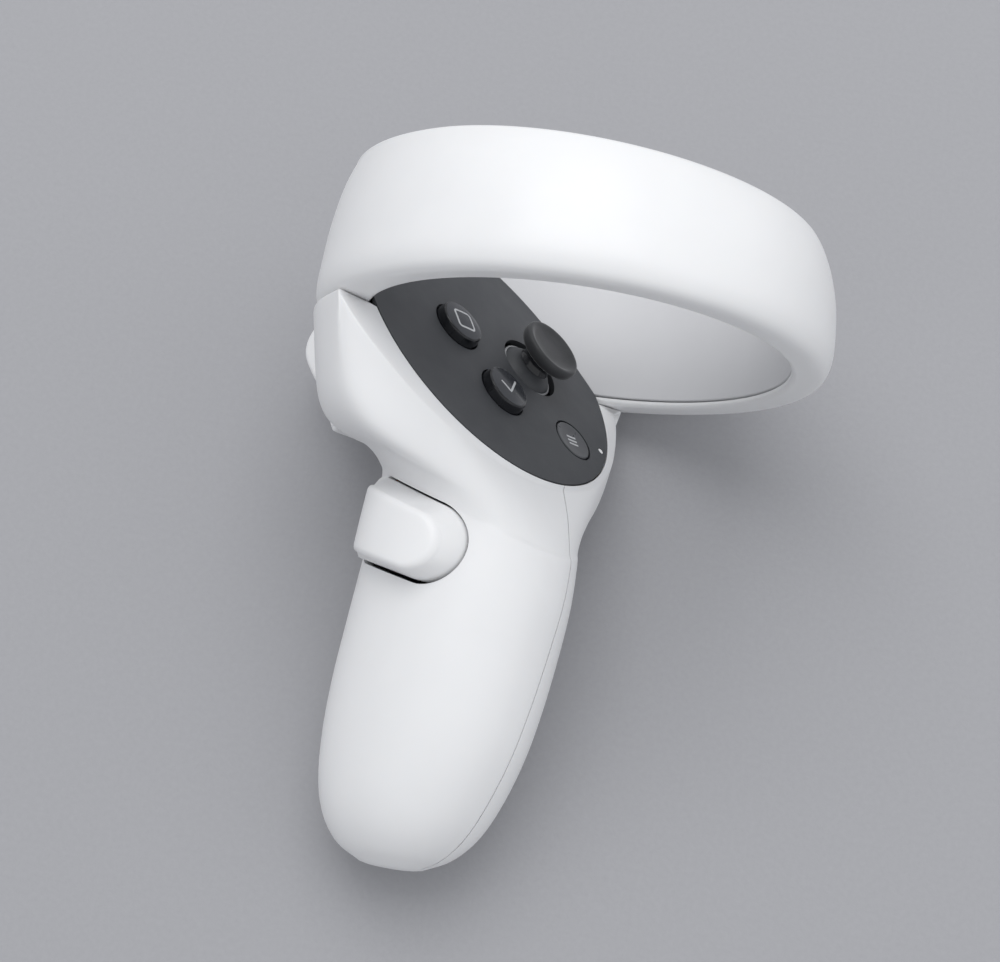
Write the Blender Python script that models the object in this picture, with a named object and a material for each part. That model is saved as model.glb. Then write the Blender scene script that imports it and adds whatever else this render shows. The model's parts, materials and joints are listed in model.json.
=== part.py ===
"""Tracked motion controller for the right hand: ring, tilted face plate, handle, trigger, grip button and thumbstick.

Blender 4.5, +Z up. Lengths below are in millimetres; MM turns them into metres as each mesh is made.

The controller's own frame: +X to the user's right, +Y forward to the trigger, +Z along the handle to the ring.
Its origin is the middle of the face plate. The plate's frame is that frame turned back about X by PLATE_TILT,
so its Z is the plate's normal and a place on the plate is (x, v, h): across, up the plate, above its face.
The whole controller hangs from one empty, which lays it on its side on the ground as it rests on a table.
"""

import bmesh
import bpy
import math
from mathutils import Matrix, Vector

MM = 0.001
GAP = 0.3  # between pieces that touch

# Ring: a circular bore, and an outline that is longer towards the trigger.
RING_CENTRE_Y = -22.5
BORE_RADIUS = 39.6
RING_SIDE = 47.0
RING_FRONT = 53.4
RING_BOTTOM = -1.7
RING_TOP = 23.6
LIP_HEIGHT = -0.4
RING_WAIST = 7.0
RING_FRONT_RISE = 5.0
RING_FRONT_CROWN = 0.4
RING_STATIONS = 60
LINER_THICK = 1.6

# Face plate.
PLATE_TILT = math.radians(54.5)
PLATE_RADIUS = 32.4
PLATE_THICK = 1.6

# Body shells: wall, ridge round the plate, and the handle's sections from the butt up.
WALL = 2.0
BODY_SIDES = 48
HEAD_TOP = RING_BOTTOM - GAP
LIP_RADIUS = 30.3
RIDGE_REAR = 33.5
RIDGE_GROWTH = 7.6
RIDGE_DROP = 0.7
ROUNDNESS = 2.2
NECK_HEIGHT = -35.0
NECK_SLOPE = 7.0
# height, half width, half depth, centre y
NECK = (17.4, 20.4, -4.7)
HANDLE_SECTIONS = (
    (-46.0, 17.6, 21.0, -4.2),
    (-57.0, 17.8, 21.2, -3.0),
    (-68.0, 17.6, 20.9, -1.5),
    (-78.0, 16.8, 20.0, -0.1),
    (-87.0, 15.3, 18.0, 1.3),
    (-93.5, 13.0, 15.2, 2.1),
    (-98.0, 9.6, 11.2, 2.6),
    (-100.6, 5.2, 6.2, 2.8),
)
# share of the way in from ridge to neck, share of the way down
FRONT_PROFILE = ((0.12, 0.37), (0.20, 0.55), (0.32, 0.66), (0.52, 0.725), (0.74, 0.77), (0.92, 0.87))
REAR_PROFILE = ((0.15, 0.12), (0.33, 0.27), (0.50, 0.42), (0.66, 0.58), (0.80, 0.73), (0.92, 0.88))
SPLIT_X = 4.6
SPLIT_HEIGHT = -58.0
SPLIT_LEAN = 0.075
COVER_TOP = -37.0
COVER_INSET = 7.2

# Controls on the plate: x, v.
UPPER_BUTTON = (-8.9, 1.7)
LOWER_BUTTON = (-2.0, -12.3)
HOME_BUTTON = (16.6, -17.7)
STICK = (11.3, -1.0)
STATUS_LED = (25.5, -17.4)
BUTTON_RADIUS = 5.2
BUTTON_CLEARANCE = 0.27
HOME_RADIUS = 4.5
STICK_HOLE = 6.9
STICK_PIVOT = -5.5
SHAFT_RADIUS = 1.2
DOME_RADIUS = 7.5
DOME_EDGE = 5.9
DOME_THICK = 0.8
BOSSES = ((-17.5, -5.0), (0.5, 8.0), (5.0, -20.5), (-12.0, -18.0))

# Trigger and grip button.
TRIGGER_PIVOT = (0.0, 23.5, -8.7)
TRIGGER_HALF_WIDTH = 10.6
TRIGGER_ROOT_HALF_WIDTH = 9.6
TRIGGER_ROUNDING = 1.4
GRIP_PIVOT = (-15.0, 9.0, -38.0)
GRIP_LEAN = math.radians(15.0)
GRIP_CENTRE = (0.0, -5.0, -41.4)
GRIP_RADIUS = 8.0
GRIP_REAR = -3.7
# front corners of the paddle: forward, half width
GRIP_FRONT = ((14.0, 8.0), (15.0, 8.0))
GRIP_FLOOR = 14.0
GRIP_SKIN = 17.8
GRIP_REACH = 28.0
GRIP_DRAFT = 3.6
GRIP_PROUD = 5.6
GRIP_CLEARANCE = 0.8
GRIP_FLATTEN = 1.4
GRIP_AXLE_HALF = 6.2
GRIP_AXLE_RADIUS = 1.0
# height, half width, half depth, centre y of the raised surface above the handle's sections
GRIP_TOP_SECTION = (-26.0, 17.2, 20.2, -5.0)

# Battery: AA cell along the handle.
CELL_RADIUS = 7.1
CELL_LENGTH = 50.0
CELL_CENTRE = (0.0, -2.2, -61.5)
HANDLE_LEAN = math.radians(7.5)

# How the controller lies: this direction of its own frame points straight up.
REST_UP = Vector((-0.752, -0.628, 0.199))

WHITE = (0.82, 0.82, 0.83, 1.0)
DARK = (0.06, 0.065, 0.07, 1.0)
BLACK = (0.015, 0.015, 0.017, 1.0)
BOARD_GREEN = (0.03, 0.16, 0.07, 1.0)
STEEL = (0.62, 0.62, 0.64, 1.0)


# ---------------------------------------------------------------- scene and mesh helpers


def clear_scene():
    for obj in list(bpy.data.objects):
        bpy.data.objects.remove(obj, do_unlink=True)


def new_collection(name):
    collection = bpy.data.collections.new(name)
    bpy.context.scene.collection.children.link(collection)
    return collection


def material(name, colour, roughness, metallic=0.0):
    made = bpy.data.materials.new(name)
    made.use_nodes = True
    shader = made.node_tree.nodes["Principled BSDF"]
    shader.inputs["Base Color"].default_value = colour
    shader.inputs["Roughness"].default_value = roughness
    shader.inputs["Metallic"].default_value = metallic
    return made


def add_part(name, mesh, look, parent, sharp_angle=40.0):
    colour, roughness, metallic = look
    obj = bpy.data.objects.new(name, mesh)
    PARTS.objects.link(obj)
    obj.parent = parent
    mesh.materials.append(material(name, colour, roughness, metallic))
    mesh.shade_smooth()
    mesh.set_sharp_from_angle(angle=math.radians(sharp_angle))
    return obj


def add_cutter(name, mesh, parent):
    obj = bpy.data.objects.new(name, mesh)
    CUTTERS.objects.link(obj)
    obj.parent = parent
    obj.hide_render = True
    obj.display_type = "WIRE"
    return obj


def empty(name, parent, at=(0.0, 0.0, 0.0), rotation=(0.0, 0.0, 0.0)):
    obj = bpy.data.objects.new(name, None)
    PARTS.objects.link(obj)
    obj.parent = parent
    obj.location = Vector(at) * MM
    obj.rotation_euler = rotation
    return obj


def mesh_from(name, bm):
    bmesh.ops.recalc_face_normals(bm, faces=bm.faces)
    bmesh.ops.scale(bm, vec=(MM, MM, MM), verts=bm.verts)
    mesh = bpy.data.meshes.new(name)
    bm.to_mesh(mesh)
    bm.free()
    return mesh


def cylinder_mesh(name, radius, low, high, at=(0.0, 0.0), segments=32, top_radius=None):
    """A cylinder or cone along the local Z from low to high."""
    bm = bmesh.new()
    bmesh.ops.create_cone(
        bm,
        cap_ends=True,
        segments=segments,
        radius1=radius,
        radius2=radius if top_radius is None else top_radius,
        depth=high - low,
    )
    bmesh.ops.translate(bm, vec=(at[0], at[1], (low + high) / 2), verts=bm.verts)
    return mesh_from(name, bm)


def box_mesh(name, low, high, rounded=0.0):
    bm = bmesh.new()
    bmesh.ops.create_cube(bm, size=1.0)
    size = [b - a for a, b in zip(low, high)]
    bmesh.ops.scale(bm, vec=size, verts=bm.verts)
    bmesh.ops.translate(bm, vec=[(a + b) / 2 for a, b in zip(low, high)], verts=bm.verts)
    if rounded:
        bmesh.ops.bevel(bm, geom=bm.edges[:], offset=rounded, segments=2, affect="EDGES", profile=0.5)
    return mesh_from(name, bm)


def loft_mesh(name, rings, closed=False):
    """Skins rings of equally many points. An open loft gets a flat cap at each end; a closed one joins up."""
    bm = bmesh.new()
    layers = [[bm.verts.new(point) for point in ring] for ring in rings]
    pairs = list(zip(layers, layers[1:]))
    if closed:
        pairs.append((layers[-1], layers[0]))
    for lower, upper in pairs:
        for i in range(len(lower)):
            j = (i + 1) % len(lower)
            bm.faces.new((lower[i], lower[j], upper[j], upper[i]))
    if not closed:
        bm.faces.new(layers[0][::-1])
        bm.faces.new(layers[-1])
    return mesh_from(name, bm)


def turned_mesh(name, profile, segments=36, closed=False):
    """A profile of (radius, height) turned about Z, from axis to axis, or closed where it goes round a bore."""
    rings = []
    for radius, height in profile:
        rings.append(
            [
                (radius * math.cos(a), radius * math.sin(a), height)
                for a in (2 * math.pi * i / segments for i in range(segments))
            ]
        )
    return loft_mesh(name, rings, closed)


def apply_boolean(obj, cutter, operation="DIFFERENCE"):
    modifier = obj.modifiers.new(operation.lower() + "_" + cutter.name, "BOOLEAN")
    modifier.operation = operation
    modifier.solver = "EXACT"
    modifier.object = cutter


def cut_cylinder(obj, name, radius, low, high, at, parent):
    apply_boolean(obj, add_cutter(name, cylinder_mesh(name, radius, low, high, at), parent))


def cut_box(obj, name, low, high, parent):
    apply_boolean(obj, add_cutter(name, box_mesh(name, low, high), parent))


# ---------------------------------------------------------------- shared outlines


def on_plate(x, v, h):
    """A place on the face plate, in the controller's own frame."""
    cos, sin = math.cos(PLATE_TILT), math.sin(PLATE_TILT)
    return Vector((x, v * cos - h * sin, v * sin + h * cos))


def ring_outline(beta, inset=0.0):
    """The ring's outer outline at this angle about its centre."""
    length = RING_FRONT if math.sin(beta) > 0 else RING_SIDE
    return Vector(
        (
            (RING_SIDE - inset) * math.cos(beta),
            RING_CENTRE_Y + (length - inset) * math.sin(beta),
        )
    )


def smooth_step(value):
    value = min(max(value, 0.0), 1.0)
    return value * value * (3 - 2 * value)


def angles(count):
    return [2 * math.pi * i / count for i in range(count)]


# ---------------------------------------------------------------- ring


def ring_section(beta, points):
    """Section points as ("in" or "out", distance from that wall, height): and how the top rises to the front."""
    outer = ring_outline(beta)
    centre = Vector((0.0, RING_CENTRE_Y))
    reach = (outer - centre).length
    direction = (outer - centre).normalized()
    rise = RING_FRONT_RISE * (1 + math.sin(beta)) / 2
    crown = 1 - RING_FRONT_CROWN * (1 + math.sin(beta)) / 2
    made = []
    for side, distance, height in points:
        if height > RING_WAIST:
            distance = distance if side == "in" else distance * crown
        radius = BORE_RADIUS + distance if side == "in" else reach - distance
        place = centre + direction * radius
        lift = rise * smooth_step((height - 5.0) / 15.0)
        made.append((place.x, place.y, height + lift))
    return made


def ring_band(name, points):
    rings = [ring_section(beta, points) for beta in angles(RING_STATIONS)]
    return loft_mesh(name, rings, closed=True)


def ring_outer_shell(root):
    """C-shaped band: rounded lower rim, crowned outer wall, narrow top rim, and a channel for the LED strip."""
    section = (
        ("in", 0.0, LIP_HEIGHT),
        ("in", 0.0, -0.9),
        ("in", 0.7, RING_BOTTOM + 0.1),
        ("in", 1.6, RING_BOTTOM),
        ("out", 2.9, RING_BOTTOM),
        ("out", 1.5, RING_BOTTOM + 0.5),
        ("out", 0.6, 0.2),
        ("out", 0.0, 2.6),
        ("out", 0.1, 6.5),
        ("out", 0.8, 11.5),
        ("out", 2.1, 16.3),
        ("out", 3.7, 20.1),
        ("out", 5.0, RING_TOP - 1.3),
        ("out", 5.9, RING_TOP - 0.3),
        ("in", 0.7, RING_TOP),
        ("in", 0.0, RING_TOP - 0.6),
        ("in", 0.0, 21.9),
        ("in", 1.9, 21.9),
        ("out", 5.6, 19.4),
        ("out", 4.0, 16.0),
        ("out", 2.7, 12.0),
        ("out", 1.9, 6.0),
        ("out", 2.1, 2.6),
        ("in", 1.9, LIP_HEIGHT),
    )
    return add_part("ring_outer_shell", ring_band("ring_outer_shell", section), (WHITE, 0.45, 0.0), root)


def ring_inner_liner(root):
    section = (
        ("in", 0.0, LIP_HEIGHT + GAP),
        ("in", LINER_THICK, LIP_HEIGHT + GAP),
        ("in", LINER_THICK, 21.9 - GAP),
        ("in", 0.0, 21.9 - GAP),
    )
    return add_part("ring_inner_liner", ring_band("ring_inner_liner", section), (WHITE, 0.5, 0.0), root)


def led_strip(root):
    """Flexible board behind the liner, thicker where each infrared LED sits."""
    rings = []
    for index, beta in enumerate(angles(RING_STATIONS)):
        thick = 1.2 if index % 4 == 0 else 0.5
        inner = LINER_THICK + GAP
        section = (
            ("in", inner, 7.5),
            ("in", inner + thick, 7.5),
            ("in", inner + thick, 12.5),
            ("in", inner, 12.5),
        )
        rings.append(ring_section(beta, section))
    mesh = loft_mesh("led_strip", rings, closed=True)
    return add_part("led_strip", mesh, (BOARD_GREEN, 0.5, 0.0), root)


# ---------------------------------------------------------------- body shells


def ridge_point(phi, inset):
    """The ridge round the plate at the rear and sides, and the ring's outline just below the ring at the front."""
    limit = math.radians(2.7)
    if math.sin(phi) >= 0:
        start = math.asin(-RING_CENTRE_Y / RING_FRONT) - 0.01
        beta = start + (math.pi - 2 * start) * phi / math.pi
        place = ring_outline(beta, inset + 0.3)
        return Vector((place.x, place.y, HEAD_TOP))
    turn = phi - math.pi
    share = turn / math.pi
    phi = math.pi + limit + share * (math.pi - 2 * limit)
    radius = RIDGE_REAR + RIDGE_GROWTH * (1 + math.sin(phi)) - inset
    return on_plate(radius * math.cos(phi), radius * math.sin(phi), -RIDGE_DROP)


def oval_point(phi, half_width, half_depth, centre_y):
    cos, sin = math.cos(phi), math.sin(phi)
    reach = (abs(cos) ** ROUNDNESS + abs(sin) ** ROUNDNESS) ** (-1 / ROUNDNESS)
    return half_width * reach * cos, centre_y + half_depth * reach * sin


def neck_point(phi, inset):
    x, y = oval_point(phi, NECK[0] - inset, NECK[1] - inset, NECK[2])
    return Vector((x, y, NECK_HEIGHT + NECK_SLOPE * math.sin(phi)))


def head_ring(step, inset):
    """One ring of the head between ridge and neck: a rounded puck at the front, a straight flare at the rear."""
    ring = []
    for phi in angles(BODY_SIDES):
        ridge, neck = ridge_point(phi, inset), neck_point(phi, inset)
        front = smooth_step((math.sin(phi) + 0.85) / 0.7)
        inward = front * FRONT_PROFILE[step][0] + (1 - front) * REAR_PROFILE[step][0]
        down = front * FRONT_PROFILE[step][1] + (1 - front) * REAR_PROFILE[step][1]
        place = ridge.lerp(neck, inward)
        place.z = ridge.z + (neck.z - ridge.z) * down
        if 0.5 < down < 0.95:
            place.z += inset * front
        ring.append(place)
    return ring


def handle_ring(section, inset, slope=0.0):
    height, half_width, half_depth, centre_y = section
    ring = []
    for phi in angles(BODY_SIDES):
        x, y = oval_point(phi, half_width - inset, half_depth - inset, centre_y)
        ring.append(Vector((x, y, height + slope * math.sin(phi))))
    return ring


def outside_rings():
    """From the ridge down the head and the handle to the butt."""
    rings = [[ridge_point(phi, 0.0) for phi in angles(BODY_SIDES)]]
    rings += [head_ring(step, 0.0) for step in range(len(FRONT_PROFILE))]
    rings.append([neck_point(phi, 0.0) for phi in angles(BODY_SIDES)])
    for index, section in enumerate(HANDLE_SECTIONS):
        rings.append(handle_ring(section, 0.0, slope=3.0 if index == 0 else 0.0))
    return rings


def inside_rings():
    """The cavity, from the butt's inside up to the lip that the plate rests on."""
    rings = []
    for index, section in reversed(list(enumerate(HANDLE_SECTIONS[:-2]))):
        rings.append(handle_ring(section, WALL, slope=3.0 if index == 0 else 0.0))
    rings.append([neck_point(phi, WALL) for phi in angles(BODY_SIDES)])
    rings += [head_ring(step, WALL) for step in reversed(range(len(FRONT_PROFILE)))]
    rings.append(flange_ring())
    return rings


def flange_ring():
    """Where the cavity's wall meets the underside of the flange that carries the plate."""
    ring = []
    depth = PLATE_THICK + WALL + GAP
    for phi in angles(BODY_SIDES):
        place = ridge_point(phi, WALL)
        if math.sin(phi) >= 0:
            place.z -= depth
        else:
            place -= (depth - RIDGE_DROP) * on_plate(0.0, 0.0, 1.0)
        ring.append(place)
    return ring


def seat_ring(radius, bore, drop):
    """A ring round the plate's seat: on the plate's plane at the rear, round the ring's bore at the front."""
    ring = []
    for phi in angles(BODY_SIDES):
        if math.sin(phi) >= 0:
            start = math.asin(-RING_CENTRE_Y / bore) - 0.02
            beta = start + (math.pi - 2 * start) * phi / math.pi
            place = Vector((bore * math.cos(beta), RING_CENTRE_Y + bore * math.sin(beta), HEAD_TOP - drop))
        else:
            limit = math.radians(4.0)
            turn = math.pi + limit + (phi / math.pi - 1) * (math.pi - 2 * limit)
            place = on_plate(radius * math.cos(turn), radius * math.sin(turn), -drop)
        ring.append(place)
    return ring


def body_mesh(name):
    rings = inside_rings()
    rings.append(seat_ring(LIP_RADIUS, BORE_RADIUS - 3.0, PLATE_THICK + WALL + GAP))
    rings.append(seat_ring(LIP_RADIUS, BORE_RADIUS - 3.0, PLATE_THICK + GAP))
    rings.append(seat_ring(PLATE_RADIUS + GAP, BORE_RADIUS, PLATE_THICK + GAP))
    rings.append(seat_ring(PLATE_RADIUS + GAP, BORE_RADIUS, 0.0))
    rings += outside_rings()
    return loft_mesh(name, rings)


def split_frame(root):
    """An empty whose YZ plane is the parting plane between the left and right shells."""
    return empty("parting_plane", root, (SPLIT_X, 0.0, SPLIT_HEIGHT), (0.0, math.atan(SPLIT_LEAN), 0.0))


def body_shell(name, low, high, root, parting):
    shell = add_part(name, body_mesh(name), (WHITE, 0.45, 0.0), root, sharp_angle=50.0)
    side = add_cutter(name + "_side", box_mesh(name + "_side", low, high), parting)
    apply_boolean(shell, side, "INTERSECT")
    return shell


def body_shells(root):
    parting = split_frame(root)
    half = GAP / 2
    top, bottom = 120.0, -120.0
    cover_edge = COVER_TOP - SPLIT_HEIGHT
    left = body_shell("left_shell", (-90, -90, bottom), (-half, 90, top), root, parting)
    right = body_shell("right_shell", (half, -90, bottom), (90, 90, top), root, parting)
    cut_box(right, "cover_opening", (COVER_INSET - half, -90, bottom), (90, 90, cover_edge + half), parting)
    cover = body_shell(
        "battery_cover", (COVER_INSET + half, -90, bottom), (90, 90, cover_edge - half), root, parting
    )
    window = TRIGGER_HALF_WIDTH + 0.8
    for shell in (left, right):
        cut_box(shell, shell.name + "_trigger_window", (-window, 24.0, -14.0), (window, 45.0, 3.0), root)
        cut_box(shell, shell.name + "_tip_window", (-window, 25.8, -30.0), (window, 45.0, -13.0), root)
    return left, right, cover


# ---------------------------------------------------------------- face plate and its controls


def face_plate(root, plate):
    disc = cylinder_mesh("face_plate", PLATE_RADIUS, -PLATE_THICK, 0.0, segments=72)
    obj = add_part("face_plate", disc, (DARK, 0.55, 0.0), plate)
    bore_radius = BORE_RADIUS - GAP
    bore = cylinder_mesh("plate_outline", bore_radius, -60.0, 60.0, (0.0, RING_CENTRE_Y), segments=96)
    apply_boolean(obj, add_cutter("plate_outline", bore, root), "INTERSECT")
    for index, (x, v) in enumerate(BOSSES):
        boss = cylinder_mesh("boss", 2.3, -7.7, -1.0, (x, v), segments=20)
        apply_boolean(obj, add_cutter(f"boss_{index}", boss, plate), "UNION")
        cut_cylinder(obj, f"boss_hole_{index}", 1.15, -9.0, -3.0, (x, v), plate)
    hole = BUTTON_RADIUS + BUTTON_CLEARANCE
    cut_cylinder(obj, "upper_button_hole", hole, -4.0, 4.0, UPPER_BUTTON, plate)
    cut_cylinder(obj, "lower_button_hole", hole, -4.0, 4.0, LOWER_BUTTON, plate)
    cut_cylinder(obj, "home_button_hole", HOME_RADIUS + BUTTON_CLEARANCE, -4.0, 4.0, HOME_BUTTON, plate)
    cut_cylinder(obj, "stick_hole", STICK_HOLE, -4.0, 4.0, STICK, plate)
    cut_cylinder(obj, "led_hole", 0.9, -4.0, 4.0, STATUS_LED, plate)
    return obj


def push_button(name, at, radius, top, dome, flange, look, plate):
    """A turned cap with a domed or dished top, held under the plate by its flange."""
    profile = (
        (0.2, top + dome),
        (radius * 0.5, top + dome * 0.78),
        (radius * 0.86, top + dome * 0.2),
        (radius - 0.25, top - 0.1),
        (radius, top - 0.45),
        (radius, -2.0),
        (flange, -2.0),
        (flange, -2.9),
        (0.2, -2.9),
    )
    obj = add_part(name, turned_mesh(name, profile, 32), look, plate)
    obj.location = Vector((at[0], at[1], 0.0)) * MM
    return obj


def tact_switch(name, at, plate):
    low = (at[0] - 2.6, at[1] - 2.6, -5.3)
    high = (at[0] + 2.6, at[1] + 2.6, -4.2)
    return add_part(name, box_mesh(name, low, high, rounded=0.2), (STEEL, 0.4, 0.8), plate)


def plate_controls(plate):
    gloss = (BLACK, 0.12, 0.0)
    push_button("upper_button", UPPER_BUTTON, BUTTON_RADIUS, 1.5, 0.7, 6.2, gloss, plate)
    push_button("lower_button", LOWER_BUTTON, BUTTON_RADIUS, 1.5, 0.7, 6.2, gloss, plate)
    push_button("home_button", HOME_BUTTON, HOME_RADIUS, 0.1, -0.35, 4.9, (DARK, 0.3, 0.0), plate)
    tact_switch("upper_tact_switch", UPPER_BUTTON, plate)
    tact_switch("lower_tact_switch", LOWER_BUTTON, plate)
    tact_switch("home_tact_switch", HOME_BUTTON, plate)
    lens = cylinder_mesh("status_light_lens", 0.6, -1.5, -0.1, STATUS_LED, segments=16)
    add_part("status_light_lens", lens, ((0.9, 0.9, 0.9, 1.0), 0.2, 0.0), plate)


def thumbstick(plate):
    """Cap, dome, shaft, gimbal frame and module, all round the stick's pivot."""
    pivot = empty("stick_pivot", plate, (STICK[0], STICK[1], STICK_PIVOT))
    up = -STICK_PIVOT
    cap = (
        (0.2, up + 7.1),
        (2.6, up + 7.15),
        (4.6, up + 7.5),
        (5.6, up + 8.0),
        (6.1, up + 8.15),
        (6.5, up + 7.95),
        (6.7, up + 7.3),
        (6.6, up + 6.4),
        (6.0, up + 5.6),
        (4.6, up + 5.0),
        (3.2, up + 4.7),
        (3.0, up + 3.6),
        (3.1, up + 2.1),
        (2.5, up + 2.1),
        (2.5, up + 2.7),
        (SHAFT_RADIUS + GAP, up + 2.7),
        (SHAFT_RADIUS + GAP, up + 4.6),
        (0.2, up + 4.6),
    )
    add_part("thumbstick_cap", turned_mesh("thumbstick_cap", cap, 36), (BLACK, 0.5, 0.0), pivot)
    stick_dome(pivot)

    shaft_mesh = cylinder_mesh("stick_shaft", SHAFT_RADIUS, -1.6, up + 4.0, segments=20)
    shaft = add_part("stick_shaft", shaft_mesh, (STEEL, 0.35, 1.0), pivot)
    pin_frame = empty("shaft_pin_axis", pivot, rotation=(math.pi / 2, 0.0, 0.0))
    pin = add_cutter("shaft_pin", cylinder_mesh("shaft_pin", 0.6, -3.2, 3.2, segments=16), pin_frame)
    apply_boolean(shaft, pin, "UNION")

    frame = add_part(
        "gimbal_frame", cylinder_mesh("gimbal_frame", 4.5, -0.8, 0.8, segments=32), (STEEL, 0.4, 1.0), pivot
    )
    cut_cylinder(frame, "gimbal_bore", 3.6, -3.0, 3.0, (0.0, 0.0), pivot)
    for side, (low, high) in (("left", (-5.6, -4.0)), ("right", (4.0, 5.6))):
        axis = empty("gimbal_pin_axis_" + side, pivot, rotation=(0.0, math.pi / 2, 0.0))
        pin = add_cutter("gimbal_pin_" + side, cylinder_mesh("gimbal_pin", 0.6, low, high, segments=16), axis)
        apply_boolean(frame, pin, "UNION")

    base_mesh = box_mesh("stick_module", (-7.3, -7.3, -4.0), (7.3, 7.3, 1.2))
    base = add_part("stick_module", base_mesh, (BLACK, 0.4, 0.0), pivot)
    cut_cylinder(base, "module_pocket", 6.2, -2.6, 6.0, (0.0, 0.0), pivot)
    return pivot


def stick_dome(pivot):
    """The dome that fills the stick's hole: part of a sphere about the pivot, so that it stays in the hole."""
    first = math.asin((SHAFT_RADIUS + GAP) / DOME_RADIUS)
    last = math.asin(DOME_EDGE / DOME_RADIUS)
    turns = [first + (last - first) * i / 8 for i in range(9)]
    inner = DOME_RADIUS - DOME_THICK
    profile = [(DOME_RADIUS * math.sin(turn), DOME_RADIUS * math.cos(turn)) for turn in turns]
    profile += [(inner * math.sin(turn), inner * math.cos(turn)) for turn in reversed(turns)]
    mesh = turned_mesh("stick_dome", profile, 48, closed=True)
    return add_part("stick_dome", mesh, (DARK, 0.55, 0.0), pivot)


def boards(root, plate):
    """Main board and the chassis under it, with cut-outs for the stick module and screws up into the plate."""
    trim = cylinder_mesh("inside_outline", BORE_RADIUS - 3.7, -60.0, 60.0, (0.0, RING_CENTRE_Y), segments=64)
    inside = add_cutter("inside_outline", trim, root)
    board_mesh = cylinder_mesh("main_board", 24.0, -6.6, -5.6, segments=48)
    board = add_part("main_board", board_mesh, (BOARD_GREEN, 0.45, 0.0), plate)
    chassis_mesh = cylinder_mesh("chassis", 24.0, -9.7, -8.0, segments=48)
    chassis = add_part("chassis", chassis_mesh, (DARK, 0.6, 0.0), plate)
    low = (STICK[0] - 7.7, STICK[1] - 7.7, -20.0)
    high = (STICK[0] + 7.7, STICK[1] + 7.7, 5.0)
    for piece, hole in ((board, 2.8), (chassis, 1.2)):
        apply_boolean(piece, inside, "INTERSECT")
        cut_box(piece, piece.name + "_stick_window", low, high, plate)
        for index, (x, v) in enumerate(BOSSES):
            cut_cylinder(piece, f"{piece.name}_screw_hole_{index}", hole, -20.0, 0.0, (x, v), plate)
    for index, (x, v) in enumerate(BOSSES):
        profile = ((0.2, -4.0), (0.85, -4.0), (0.85, -10.0), (1.9, -10.0), (1.9, -11.0), (1.4, -11.4), (0.2, -11.4))
        name = f"chassis_screw_{index + 1}"
        screw = add_part(name, turned_mesh(name, profile, 16), (STEEL, 0.3, 1.0), plate)
        screw.location = Vector((x, v, 0.0)) * MM


# ---------------------------------------------------------------- trigger


def trigger(root):
    """A curved lever under the ring's front, hinged across its root."""
    pivot = empty("trigger_hinge", root, TRIGGER_PIVOT)
    lever_mesh = trigger_mesh("trigger")
    lever = add_part("trigger", lever_mesh, (WHITE, 0.45, 0.0), pivot)
    bore_axis = empty("trigger_bore_axis", pivot, rotation=(0.0, math.pi / 2, 0.0))
    cut_cylinder(lever, "trigger_bore", 1.0 + GAP, -30.0, 30.0, (0.0, 0.0), bore_axis)
    for side in (-1, 1):
        low, high = sorted((side * TRIGGER_ROOT_HALF_WIDTH, side * 20.0))
        cut_box(lever, f"trigger_shoulder_{side}", (low, -8.0, -8.0), (high, 3.0, 8.0), pivot)
    cut_box(lever, "trigger_spring_slot", (-3.3, -4.0, -4.0), (3.3, 2.6, 4.0), pivot)
    bracket_parts(root)
    axle = cylinder_mesh("trigger_axle", 1.0, -12.5, 12.5, segments=20)
    pin = add_part("trigger_axle", axle, (STEEL, 0.3, 1.0), root)
    pin.location = Vector(TRIGGER_PIVOT) * MM
    pin.rotation_euler = (0.0, math.pi / 2, 0.0)
    return pivot


def trigger_mesh(name):
    """The lever's side profile, extruded across X and rounded, about its hinge."""
    profile = (
        (21.4, -7.0), (25.2, -6.4), (27.6, -3.4), (32.2, -2.3), (32.7, -0.4), (33.3, 2.6), (34.9, 4.9), (37.6, 5.4),
        (40.6, 3.8), (42.5, 0.6), (42.7, -3.0), (40.8, -7.2), (37.6, -11.4), (34.6, -15.0), (31.8, -17.8),
        (29.8, -18.8), (28.6, -17.8), (29.0, -15.4), (30.2, -13.0), (30.2, -11.3), (28.4, -10.8), (25.2, -11.1),
        (21.4, -10.6),
    )
    hinge_y, hinge_z = TRIGGER_PIVOT[1:]
    sides = []
    for x in (-TRIGGER_HALF_WIDTH, TRIGGER_HALF_WIDTH):
        sides.append([(x, y - hinge_y, z - hinge_z) for y, z in profile])
    mesh = loft_mesh(name, sides)
    bm = bmesh.new()
    bm.from_mesh(mesh)
    rim = [edge for edge in bm.edges if abs(edge.verts[0].co.x - edge.verts[1].co.x) < GAP * MM]
    bmesh.ops.bevel(bm, geom=rim, offset=TRIGGER_ROUNDING * MM, segments=3, profile=0.5, affect="EDGES")
    bm.to_mesh(mesh)
    bm.free()
    return mesh


def bracket_parts(root):
    """The U-shaped bracket that carries the trigger's axle."""
    x, y, z = TRIGGER_PIVOT
    bracket = add_part(
        "trigger_bracket", box_mesh("trigger_bracket", (-11.7, y - 6.0, z - 2.0), (11.7, y + 1.7, z + 2.0)),
        (DARK, 0.6, 0.0), root
    )
    cut_box(bracket, "bracket_gap", (-10.3, y - 4.2, z - 5.0), (10.3, y + 5.0, z + 5.0), root)
    axis = empty("bracket_bore_axis", root, TRIGGER_PIVOT, (0.0, math.pi / 2, 0.0))
    cut_cylinder(bracket, "bracket_bore", 1.0 + GAP, -20.0, 20.0, (0.0, 0.0), axis)


# ---------------------------------------------------------------- grip button


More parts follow.
